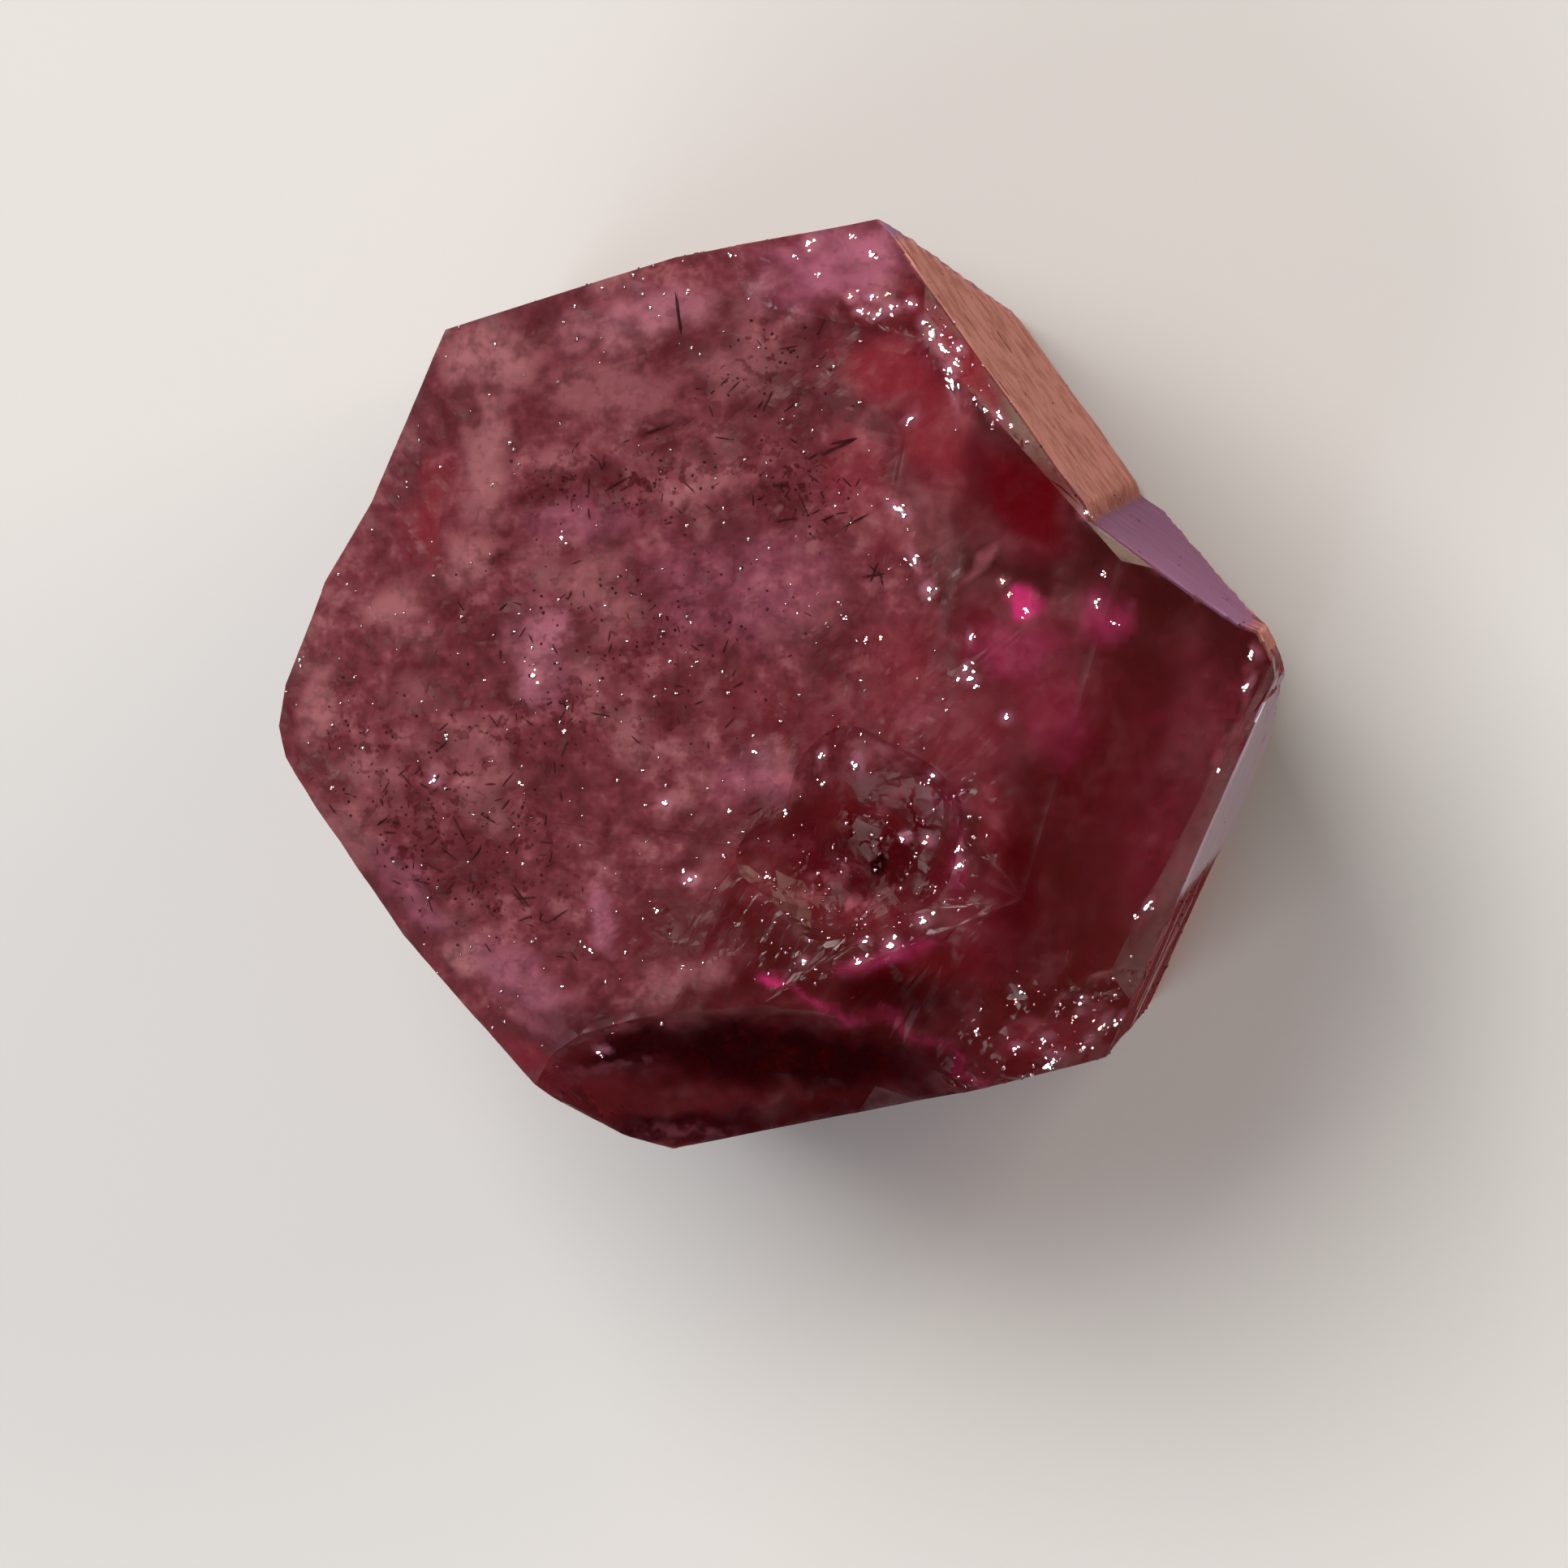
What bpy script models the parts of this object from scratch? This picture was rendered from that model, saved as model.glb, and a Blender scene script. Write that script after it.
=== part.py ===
"""A single red beryl crystal: a stubby, slightly skewed hexagonal prism.

The crystal stands on its flat basal plane with its long axis along +Z. Its upper
end is a rough growth face, cut by a few smooth facets and two shell-shaped
fractures, and two corners of its lower end are broken off obliquely.

Sizes are in millimetres and bearings in degrees from +X towards +Y.
"""

import math

import bmesh
import bpy
from mathutils import Matrix, Vector, noise

MM = 0.001
PART_NAME = "red_beryl_crystal"
COLLECTION_NAME = "red_beryl_specimen"
CUTTER_COLLECTION_NAME = "cutters"

# The prism: its height, what it stands above that before the growth face is cut, and its
# outline seen from above, anticlockwise from the right.
CRYSTAL_HEIGHT = 7.5
UNCUT_ALLOWANCE = 0.3
OUTLINE = (
    (5.86, 0.13),
    (5.84, 0.34),
    (5.66, 0.70),
    (5.43, 0.78),
    (3.68, 2.02),
    (3.62, 2.20),
    (1.30, 5.38),
    (1.06, 5.58),
    (-1.27, 5.14),
    (-4.06, 4.27),
    (-5.00, 2.17),
    (-5.57, 1.22),
    (-6.06, -0.02),
    (-6.14, -0.52),
    (-6.05, -0.90),
    (-4.62, -3.05),
    (-3.05, -4.82),
    (-2.75, -5.08),
    (-2.05, -5.50),
    (-1.45, -5.68),
    (0.86, -5.18),
    (3.82, -4.50),
    (4.74, -2.45),
)

# Facets of the upper end: a point on the facet as x, y and depth below the full height,
# the bearing that the facet faces, and its dip.
TOP_FACETS = {
    "growth face": ((-1.50, 0.00, 0.03), 220.0, 0.8),
    "glossy right face": ((3.34, -1.14, 0.00), -18.0, 21.0),
    "upper corner": ((0.77, 4.45, 0.00), 80.0, 24.0),
    "upper right bevel": ((1.45, 4.59, 0.00), 42.0, 34.0),
    "left margin": ((-3.84, 2.41, 0.00), 165.0, 14.0),
    "lower left margin": ((-3.12, -3.22, 0.00), 226.0, 19.0),
    "lower right face": ((0.86, -3.22, 0.00), -70.0, 16.0),
    "right edge chamfer": ((5.00, -1.20, 0.58), -24.0, 48.0),
    "lower right corner": ((3.29, -4.10, 0.60), -50.0, 42.0),
}

# Oblique breaks at the lower end: three points, as x, y and height, on each broken plane.
LOWER_BREAKS = {
    "upper right corner": ((1.25, 5.45, 6.30), (2.15, 4.25, 0.00), (-0.05, 5.37, 0.00)),
    "right corner": ((5.55, 0.72, 5.00), (3.93, 1.84, 0.00), (5.34, -1.06, 0.00)),
}

# Shell-shaped fractures: the egg that each one fits, as its centre's x, y and height above
# the crystal, its half-sizes, the bearing and dip of its short axis, and its waviness.
FRACTURES = {
    "lower edge shell": ((-0.15, -6.62, 2.50), (6.30, 3.80, 3.80), 0.0, 0.0, 0.06),
    "inner hollow": ((0.62, -1.60, 0.36), (1.60, 1.46, 0.64), -48.0, 17.0, 0.20),
}
CUTTER_SEGMENTS = 48
CUTTER_RINGS = 24
WAVE_SIZE = 0.85
WAVE_SEED = Vector((3.7, 8.1, 6.3))

# Mesh: the longest edge on the uneven upper end and on the plain prism faces.
TOP_EDGE_LENGTH = 0.60
SIDE_EDGE_LENGTH = 2.40
SMALLEST_EDGE = 0.03
CUT_TOLERANCE = 0.0003
REFINE_PASSES = 5
TOP_SLOPE = 0.25

# Relief of the upper end: broad swells and finer bumps, all along +Z.
SWELL_SIZE = 2.60
SWELL_HEIGHT = 0.10
BUMP_SIZE = 0.75
BUMP_HEIGHT = 0.055
RELIEF_SEED = Vector((11.3, 4.7, 2.1))

BODY_COLOUR = (0.32, 0.012, 0.022, 1.0)
BODY_ROUGHNESS = 0.28


def clear_scene():
    """Take out whatever the file holds, so that only the crystal is left."""
    for old_object in list(bpy.data.objects):
        bpy.data.objects.remove(old_object, do_unlink=True)


def make_collection(name):
    """Return a new collection linked to the scene."""
    collection = bpy.data.collections.new(name)
    bpy.context.scene.collection.children.link(collection)
    return collection


def facing(bearing, dip):
    """Unit normal of a plane that faces a bearing and dips by an angle from level."""
    turn = math.radians(bearing)
    lean = math.radians(dip)
    return Vector((math.sin(lean) * math.cos(turn), math.sin(lean) * math.sin(turn), math.cos(lean)))


def cut_away(bm, point, normal):
    """Cut a closed mesh by a plane, drop what lies on the normal's side, and close it."""
    everything = bm.verts[:] + bm.edges[:] + bm.faces[:]
    result = bmesh.ops.bisect_plane(
        bm,
        geom=everything,
        dist=CUT_TOLERANCE * MM,
        plane_co=Vector(point) * MM,
        plane_no=normal,
        clear_outer=True,
    )
    rim = [item for item in result["geom_cut"] if isinstance(item, bmesh.types.BMEdge)]
    if rim:
        bmesh.ops.holes_fill(bm, edges=rim, sides=0)


def make_prism():
    """Raise the crystal's outline into a closed block with level ends."""
    bm = bmesh.new()
    corners = [bm.verts.new((x * MM, y * MM, 0.0)) for x, y in OUTLINE]
    floor = bm.faces.new(corners)
    raised = bmesh.ops.extrude_face_region(bm, geom=[floor])
    lifted = [item for item in raised["geom"] if isinstance(item, bmesh.types.BMVert)]
    uncut_height = (CRYSTAL_HEIGHT + UNCUT_ALLOWANCE) * MM
    bmesh.ops.translate(bm, verts=lifted, vec=Vector((0.0, 0.0, uncut_height)))
    bmesh.ops.recalc_face_normals(bm, faces=bm.faces[:])
    return bm


def cut_facets(bm):
    """Cut the facets of the upper end and the oblique breaks of the lower end."""
    for (x, y, depth), bearing, dip in TOP_FACETS.values():
        cut_away(bm, (x, y, CRYSTAL_HEIGHT - depth), facing(bearing, dip))
    middle = Vector((0.0, 0.0, CRYSTAL_HEIGHT / 2))
    for first, second, third in LOWER_BREAKS.values():
        normal = (Vector(second) - Vector(first)).cross(Vector(third) - Vector(first)).normalized()
        if normal.dot(Vector(first) - middle) < 0.0:
            normal.negate()
        cut_away(bm, first, normal)
    bmesh.ops.recalc_face_normals(bm, faces=bm.faces[:])


def make_fracture_cutter(name, centre, half_sizes, bearing, dip, waviness, collection):
    """Return a slightly wavy egg whose surface is one shell-shaped fracture."""
    x, y, rise = centre
    bm = bmesh.new()
    bmesh.ops.create_uvsphere(bm, u_segments=CUTTER_SEGMENTS, v_segments=CUTTER_RINGS, radius=MM)
    bmesh.ops.scale(bm, vec=half_sizes, verts=bm.verts[:])
    bm.normal_update()
    for vert in bm.verts:
        wave = noise.noise(vert.co / MM / WAVE_SIZE + WAVE_SEED)
        vert.co += vert.normal * (waviness * wave * MM)
    mesh = bpy.data.meshes.new(name)
    bm.to_mesh(mesh)
    bm.free()
    cutter = bpy.data.objects.new(name, mesh)
    lean = Vector((0.0, 0.0, 1.0)).rotation_difference(facing(bearing, dip))
    place = Matrix.Translation(Vector((x, y, CRYSTAL_HEIGHT + rise)) * MM)
    cutter.matrix_world = place @ lean.to_matrix().to_4x4()
    cutter.hide_render = True
    cutter.display_type = "WIRE"
    collection.objects.link(cutter)
    return cutter


def cut_fractures(crystal, cutters):
    """Cut the shell-shaped fractures out of the crystal and keep the result as its mesh."""
    for cutter in cutters:
        cut = crystal.modifiers.new(cutter.name, "BOOLEAN")
        cut.operation = "DIFFERENCE"
        cut.solver = "EXACT"
        cut.object = cutter
    bpy.context.view_layer.update()
    depsgraph = bpy.context.evaluated_depsgraph_get()
    cut_mesh = bpy.data.meshes.new_from_object(crystal.evaluated_get(depsgraph))
    crystal.modifiers.clear()
    crystal.data = cut_mesh


def is_top(face):
    """Tell whether a face belongs to the uneven upper end."""
    return face.normal.z > TOP_SLOPE


def refine(bm):
    """Split long edges until every face is small enough for its place."""
    bmesh.ops.remove_doubles(bm, verts=bm.verts[:], dist=SMALLEST_EDGE * MM)
    bmesh.ops.dissolve_degenerate(bm, edges=bm.edges[:], dist=SMALLEST_EDGE * MM)
    bmesh.ops.triangulate(bm, faces=bm.faces[:])
    for _ in range(REFINE_PASSES):
        bm.normal_update()
        too_long = []
        for edge in bm.edges:
            on_top = any(is_top(face) for face in edge.link_faces)
            limit = TOP_EDGE_LENGTH if on_top else SIDE_EDGE_LENGTH
            if edge.calc_length() > limit * MM:
                too_long.append(edge)
        bmesh.ops.subdivide_edges(bm, edges=too_long, cuts=1)
        bmesh.ops.triangulate(bm, faces=bm.faces[:])


def relief(x, y):
    """Height of the uneven upper end's swells and bumps at a point, in millimetres."""
    swell = noise.noise(Vector((x, y, 0.0)) / SWELL_SIZE + RELIEF_SEED)
    bump = noise.noise(Vector((x, y, 0.0)) / BUMP_SIZE - RELIEF_SEED)
    return SWELL_HEIGHT * swell + BUMP_HEIGHT * bump


def roughen_top(bm):
    """Move the upper end's points up and down by the relief."""
    top_points = {vert for face in bm.faces if is_top(face) for vert in face.verts}
    for vert in top_points:
        vert.co.z += relief(vert.co.x / MM, vert.co.y / MM) * MM


def centre_on_base(bm):
    """Put the origin under the middle of the crystal's box, on its flat base."""
    xs = [vert.co.x for vert in bm.verts]
    ys = [vert.co.y for vert in bm.verts]
    zs = [vert.co.z for vert in bm.verts]
    middle = Vector(((min(xs) + max(xs)) / 2, (min(ys) + max(ys)) / 2, min(zs)))
    bmesh.ops.transform(bm, matrix=Matrix.Translation(-middle), verts=bm.verts[:])


def make_material():
    """Deep raspberry-red crystal finish."""
    material = bpy.data.materials.new("red_beryl")
    material.use_nodes = True
    shader = material.node_tree.nodes["Principled BSDF"]
    shader.inputs["Base Color"].default_value = BODY_COLOUR
    shader.inputs["Roughness"].default_value = BODY_ROUGHNESS
    shader.inputs["Metallic"].default_value = 0.0
    return material


def make_crystal(collection, cutter_collection):
    """Build the crystal: prism, facets, fractures, fine mesh and relief."""
    bm = make_prism()
    cut_facets(bm)
    mesh = bpy.data.meshes.new(PART_NAME)
    bm.to_mesh(mesh)
    bm.free()
    crystal = bpy.data.objects.new(PART_NAME, mesh)
    collection.objects.link(crystal)

    cutters = [
        make_fracture_cutter(name.replace(" ", "_"), *shape, cutter_collection)
        for name, shape in FRACTURES.items()
    ]
    cut_fractures(crystal, cutters)

    bm = bmesh.new()
    bm.from_mesh(crystal.data)
    refine(bm)
    roughen_top(bm)
    centre_on_base(bm)
    bmesh.ops.recalc_face_normals(bm, faces=bm.faces[:])
    bm.to_mesh(crystal.data)
    bm.free()
    crystal.data.name = PART_NAME
    crystal.data.materials.clear()
    crystal.data.materials.append(make_material())
    return crystal


def main():
    clear_scene()
    collection = make_collection(COLLECTION_NAME)
    cutter_collection = make_collection(CUTTER_COLLECTION_NAME)
    make_crystal(collection, cutter_collection)


main()
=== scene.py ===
"""Looks of a red beryl crystal: clear red body, pale bloom with painted shade and highlights, sealed veils,
needles, glints, and ledges with painted reflections.

Lengths are in millimetres unless a name says otherwise; MM turns them into metres.
Places on the growth face are given as column and row in the main view's frame.
"""

import math

import bmesh
import bpy
import numpy as np
from mathutils import Matrix, Vector, noise
from mathutils.bvhtree import BVHTree
from mathutils.kdtree import KDTree


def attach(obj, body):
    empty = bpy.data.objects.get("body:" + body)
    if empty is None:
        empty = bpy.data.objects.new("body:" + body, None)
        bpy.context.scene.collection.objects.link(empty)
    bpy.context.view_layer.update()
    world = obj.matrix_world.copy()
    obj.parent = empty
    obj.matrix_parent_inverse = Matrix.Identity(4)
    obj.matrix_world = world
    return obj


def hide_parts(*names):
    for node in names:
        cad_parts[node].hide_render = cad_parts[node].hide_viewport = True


MM = 0.001
CRYSTAL_NODE = "red_beryl_crystal"

# The view: a 1932 x 1932 frame that looks down on the growth face, leaning a little right.
FRAME_PIXELS = 1932
PIXELS_PER_MM = 103.0
VIEW_DISTANCE = 100.0
VIEW_TARGET = Vector((0.19, -1.09, 7.5))
VIEW_LEAN = Vector((0.1273, 0.0776, 1.0))

# Soft lights: bearing and height in degrees, distance and width in metres, brightness, colour.
SOFTBOXES = {
    "key_softbox": (128.0, 52.0, 0.42, 0.26, 7.2, (1.0, 0.97, 0.93)),
    "fill_softbox": (232.0, 40.0, 0.50, 0.30, 2.4, (0.93, 0.96, 1.0)),
    "warm_side_softbox": (36.0, 24.0, 0.45, 0.26, 3.6, (1.0, 0.80, 0.62)),
}
SKY_COLOUR = (0.86, 0.88, 0.92, 1.0)
SKY_STRENGTH = 0.12
# Limits on how often a path of light may turn, in all and by kind.
PATH_BOUNCES = 6
DIFFUSE_BOUNCES = 1
GLOSSY_BOUNCES = 2
FLOOR_HALF_SIZE = 1.2
FLOOR_GAP = 0.02
FLOOR_COLOUR = (0.80, 0.79, 0.78, 1.0)
FLOOR_ROUGHNESS = 0.75

# Mesh fineness of the crystal: longest edge on the growth face and on the prism faces.
TOP_EDGE_LENGTH = 0.085
SIDE_EDGE_LENGTH = 0.45
REFINE_PASSES = 9
TOP_SLOPE = 0.25
MERGE_DISTANCE = 1e-6
RIDGE_ANGLE = math.radians(11.0)
RIDGE_STEP = 0.04
RIDGE_WIDTH = 0.10

# Zones of the growth end, as corners in the frame.
ZONES = {
    "etched": (
        (548, 380), (900, 290), (965, 385), (1040, 400), (1060, 470), (1100, 560), (1150, 680),
        (1170, 830), (1130, 940), (1000, 985), (925, 1040), (890, 1120), (925, 1190), (840, 1230),
        (700, 1290), (650, 1365), (490, 1180), (310, 930), (320, 840), (380, 705), (470, 540),
    ),
    "corner": ((885, 290), (1095, 250), (1160, 400), (1120, 400), (1045, 398), (950, 390), (890, 345)),
    "hazy": (
        (1030, 395), (1115, 395), (1180, 480), (1195, 560), (1190, 700), (1290, 730), (1395, 700),
        (1400, 780), (1335, 890), (1240, 965), (1150, 960), (1160, 830), (1130, 680), (1060, 540),
    ),
    "chipped": (
        (1010, 1000), (1100, 960), (1210, 960), (1225, 1060), (1190, 1130), (1080, 1190), (960, 1215),
        (900, 1150), (920, 1060),
    ),
    "chipped corner": ((1240, 1215), (1395, 1205), (1375, 1330), (1180, 1350), (1160, 1310)),
    "chipped bevel": ((1100, 360), (1150, 380), (1250, 500), (1245, 545), (1165, 500), (1110, 410)),
}
ZONE_SOFTNESS = 0.60

# Noises over the crystal: grain size, shift, octaves.
NOISES = {
    "ragged": (0.35, 3.1, 3),
    "warp across": (0.45, 13.0, 2),
    "warp up": (0.45, 29.0, 2),
    "broken": (0.9, 41.0, 3),
    "worn": (0.8, 17.0, 3),
    "coarse": (0.60, 1.7, 3),
    "grain": (0.20, 5.3, 2),
    "swell": (1.60, 7.7, 1),
    "bulge": (1.10, 2.9, 1),
    "side patches": (0.85, 23.0, 4),
    "side streaks": (0.16, 31.0, 2),
}
# Small tilted chips: size and shift.
CRUST = (0.30, 4.0)
BROKEN_CHIPS = (0.42, 11.0)
RAGGED_REACH = 0.16
WARP_REACH = 0.14

# How much each zone's bloom hides, and what each thing adds to the body's roughness.
ETCHED_COVER = 0.96
CORNER_COVER = 0.92
HAZY_COVER = 0.42
LEAST_FINISH = 0.06
WORN_FINISH = 0.08
RIDGE_FINISH = 0.20
ZONE_FINISH = {"etched": 0.30, "hazy": 0.14, "chipped": 0.10}

# Heights of the relief, and how far the prism faces swell.
COARSE_RELIEF = 0.030
GRAIN_RELIEF = 0.010
CRUST_RELIEF = 0.012
PATCH_RELIEF = 0.04
SWELL_RELIEF = 0.020
SMOOTH_RELIEF = 0.010
CHIP_RELIEF = 0.035
SIDE_BULGE = 0.02

# The prism faces: how noise is drawn out along the growth lines, and where the crown starts and ends.
SIDE_STRETCH = (0.35, 0.35, 1.0)
CROWN_SPAN = (5.2, 7.0)

# Soft patches on the growth end: column, row, half length, half width, lay, strength.
PATCHES = {
    "pale": (
        (604, 440, 66, 46, 0, 0.90), (600, 556, 100, 32, 86, 0.80), (572, 694, 48, 34, 30, 0.75),
        (478, 748, 48, 30, 10, 0.70), (668, 800, 42, 62, 0, 0.95), (690, 564, 34, 14, 0, 0.50),
        (833, 613, 16, 14, 0, 0.70), (870, 650, 16, 24, 0, 0.50), (388, 870, 26, 64, 0, 0.70),
        (790, 395, 110, 34, 12, 0.95), (572, 1178, 40, 26, -42, 0.90), (640, 1212, 96, 32, -38, 0.40),
        (744, 1134, 13, 44, 0, 0.70), (832, 987, 32, 12, 0, 0.60), (536, 947, 22, 16, 0, 0.55),
        (431, 1015, 14, 24, 0, 0.60), (524, 793, 28, 20, 0, 0.45), (946, 347, 32, 14, 10, 0.70),
        (750, 480, 90, 44, 0, 0.45), (1000, 760, 60, 30, 20, 0.20), (880, 600, 60, 20, 0, 0.30),
    ),
    "dark": (
        (678, 604, 30, 28, 0, 0.85), (752, 592, 34, 22, 0, 0.85), (808, 530, 60, 18, 15, 0.75),
        (930, 487, 62, 34, 20, 0.60), (969, 624, 40, 32, 0, 0.90), (617, 699, 15, 11, 0, 0.80),
        (566, 757, 20, 16, 0, 0.70), (614, 784, 16, 24, 0, 0.80), (640, 872, 30, 10, -20, 0.85),
        (753, 891, 22, 11, 0, 0.65), (851, 1003, 18, 16, 0, 0.85), (812, 1024, 38, 18, 0, 0.65),
        (1010, 430, 44, 34, 0, 0.60), (560, 1050, 120, 52, -24, 0.45), (700, 700, 90, 40, 0, 0.25),
        (640, 650, 40, 20, 0, 0.35), (520, 850, 60, 26, 0, 0.35), (900, 891, 40, 30, 0, 0.45),
        (960, 1000, 50, 24, 0, 0.60), (845, 1145, 86, 50, 0, 0.70), (1000, 520, 40, 30, 0, 0.45),
    ),
    # Painted sheen: a lilac cast of the light over the pale patches.
    "lilac": (
        (668, 800, 46, 66, 0, 0.80), (650, 1215, 90, 34, -38, 0.55), (1020, 330, 110, 46, 12, 1.0),
        (744, 1134, 16, 46, 0, 0.80), (900, 720, 140, 90, 0, 0.30), (930, 960, 60, 40, 0, 0.40),
        (960, 345, 50, 26, 12, 0.90), (500, 1100, 70, 24, -50, 0.60), (720, 640, 80, 30, 0, 0.40),
        (790, 390, 110, 34, 12, 0.50),
    ),
    "gap": (
        (528, 640, 60, 34, 76, 0.55), (500, 560, 70, 22, 68, 0.30), (845, 1145, 90, 52, 0, 0.45),
        (960, 1010, 56, 26, 0, 0.55), (1040, 470, 40, 44, 0, 0.50), (930, 890, 60, 50, 0, 0.30),
        (1040, 860, 60, 70, 0, 0.20), (1230, 620, 44, 90, -20, 1.0), (1110, 440, 30, 30, 0, 0.30),
        (1080, 900, 70, 40, 20, 0.30), (980, 480, 30, 60, 10, 0.20),
    ),
    "haze": (
        (1440, 960, 200, 46, 66, 0.26), (1470, 790, 60, 40, 0, 0.16), (1350, 1150, 70, 60, 0, 0.12),
        (1300, 860, 60, 44, 30, 0.50), (1225, 1000, 26, 60, 20, 0.55), (1160, 900, 60, 60, 0, 0.45),
        (1150, 560, 50, 120, 15, 0.42), (1225, 1120, 20, 90, 0, 0.32), (1210, 690, 10, 44, -35, 0.70),
        (1385, 1010, 18, 30, 0, 0.20), (1080, 1105, 44, 16, 20, 0.50), (1005, 1095, 44, 26, 0, 0.55),
        (1055, 1120, 12, 26, 10, 0.85), (1130, 1010, 40, 20, 0, 0.30), (830, 1400, 70, 18, 8, 0.60),
        (650, 1310, 46, 40, -40, 0.45), (760, 1262, 60, 10, 22, 0.55), (1300, 1290, 80, 34, 10, 0.50),
    ),
    # Painted highlights: magenta glints inside the crystal and the bright line along the lower ridge.
    "painted_magenta_glint": (
        (1268, 742, 26, 20, -40, 1.0), (1258, 722, 14, 9, 0, 0.9), (1360, 762, 36, 36, 0, 0.50),
        (1250, 800, 60, 40, 0, 0.35), (954, 1208, 22, 12, -10, 0.95), (1015, 1240, 60, 8, -24, 0.55),
        (1110, 1272, 60, 7, -24, 0.32), (1185, 1330, 46, 7, -40, 0.25), (1300, 900, 40, 50, 0, 0.20),
        (1090, 1178, 70, 14, 14, 0.50), (1180, 1060, 14, 50, 0, 0.35), (1175, 990, 30, 20, 0, 0.25),
    ),
    "rosy": (
        (1150, 520, 60, 120, 12, 0.90), (1095, 455, 84, 60, 0, 1.0), (1110, 850, 60, 110, 0, 0.45),
        (1180, 900, 70, 90, 0, 0.60), (1290, 860, 60, 60, 0, 0.60), (1260, 780, 90, 60, 0, 0.55),
        (1040, 900, 60, 60, 0, 0.35), (1225, 1000, 28, 70, 10, 0.70), (1188, 1110, 26, 90, 0, 0.45),
        (955, 1085, 70, 60, 0, 0.55), (528, 636, 72, 36, 76, 0.90), (650, 1315, 60, 34, -40, 0.70),
        (1065, 1075, 130, 90, 0, 1.0), (1185, 445, 110, 22, -52, 1.0), (1290, 1290, 70, 34, 12, 0.90),
        (845, 1145, 84, 46, 0, 0.50), (1080, 985, 90, 40, 0, 0.60),
        (1110, 640, 60, 60, 0, 0.35), (930, 880, 60, 40, 0, 0.35), (1060, 580, 50, 60, 0, 0.50),
    ),
    "shadow": (
        (1075, 1062, 17, 24, 0, 1.0), (1070, 1062, 120, 84, 0, 0.66), (1100, 1232, 120, 42, -14, 0.85),
        (960, 1308, 300, 74, -4, 0.97), (1130, 1350, 150, 36, -18, 0.85), (790, 1296, 130, 40, 10, 0.93),
        (1262, 1090, 34, 90, 0, 0.55), (1330, 960, 60, 110, -25, 0.22), (1000, 1380, 240, 34, 6, 0.85),
        (850, 1140, 76, 44, 0, 0.34), (835, 1400, 170, 34, 4, 0.93), (1000, 1120, 60, 50, 0, 0.30),
        (1262, 1180, 60, 40, 0, 0.45),
    ),
    # Painted shade: near-black red laid over clear parts of the face that look dark.
    "deep": (
        (1262, 614, 100, 62, -52, 1.0), (1075, 1050, 120, 70, 0, 0.85), (1255, 1090, 40, 110, 0, 0.85),
        (1340, 950, 60, 110, -25, 0.60), (1130, 1195, 120, 40, 14, 0.80), (1200, 630, 30, 50, 0, 0.60),
        (1190, 780, 26, 60, 0, 0.45), (1100, 960, 60, 24, 0, 0.50), (650, 1330, 40, 24, -40, 0.50),
    ),
    # Pink flecks: partly pale chips in the hollow, partly painted highlights along edges, ridges and
    # chipped corners.
    "flecks_and_painted_highlights": (
        (1005, 1095, 38, 18, 20, 0.70), (1055, 1120, 9, 24, 10, 0.90), (1080, 1108, 32, 10, 30, 0.60),
        (1040, 1078, 20, 10, 0, 0.45), (1100, 992, 30, 9, 20, 0.55), (1140, 985, 24, 9, -30, 0.50),
        (960, 1040, 30, 14, 0, 0.55), (1121, 512, 28, 18, 10, 0.45), (1000, 962, 46, 18, 10, 0.55),
        (1180, 962, 40, 12, 30, 0.45), (1222, 1000, 12, 44, 20, 0.55), (1262, 1268, 30, 12, 10, 0.55),
        (1290, 1302, 30, 14, -30, 0.80), (1345, 1262, 26, 20, 20, 0.80), (1400, 1135, 22, 9, 60, 0.55),
        (1212, 688, 9, 42, -35, 0.55), (1540, 820, 9, 40, -10, 0.60), (1500, 950, 8, 50, -30, 0.40),
        (760, 1262, 66, 7, 18, 0.55), (850, 1250, 60, 6, 4, 0.50), (1150, 400, 24, 10, -50, 0.80),
        (1130, 880, 40, 20, 0, 0.25), (1085, 930, 30, 14, 0, 0.35), (940, 1100, 20, 14, 0, 0.40),
        (1504, 934, 125, 9, 66, 0.65), (740, 1316, 70, 8, 6, 0.35), (830, 1404, 70, 10, 2, 0.30),
    ),
    "glow": (
        (1265, 610, 90, 80, -30, 1.0), (1150, 520, 90, 120, 0, 0.8), (1200, 850, 130, 110, 0, 0.8),
        (1440, 940, 210, 90, 66, 0.7), (1200, 1120, 44, 90, 0, 0.8), (1000, 1050, 90, 60, 0, 0.6),
        (1100, 1050, 80, 60, 0, 0.5), (650, 1330, 90, 50, 0, 0.9), (840, 1395, 120, 20, 6, 0.5),
    ),
}
# Where dark needles and specks crowd, given the same way.
NEEDLE_CLOUDS = (
    (560, 1030, 170, 110, -40, 1.0), (760, 600, 130, 50, 0, 0.9), (990, 600, 70, 60, 0, 1.0),
    (950, 460, 90, 60, 0, 0.9), (760, 800, 220, 150, 0, 0.45), (900, 560, 100, 60, 0, 0.5),
    (640, 900, 120, 70, 0, 0.6), (450, 930, 70, 90, 0, 0.6),
)

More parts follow.
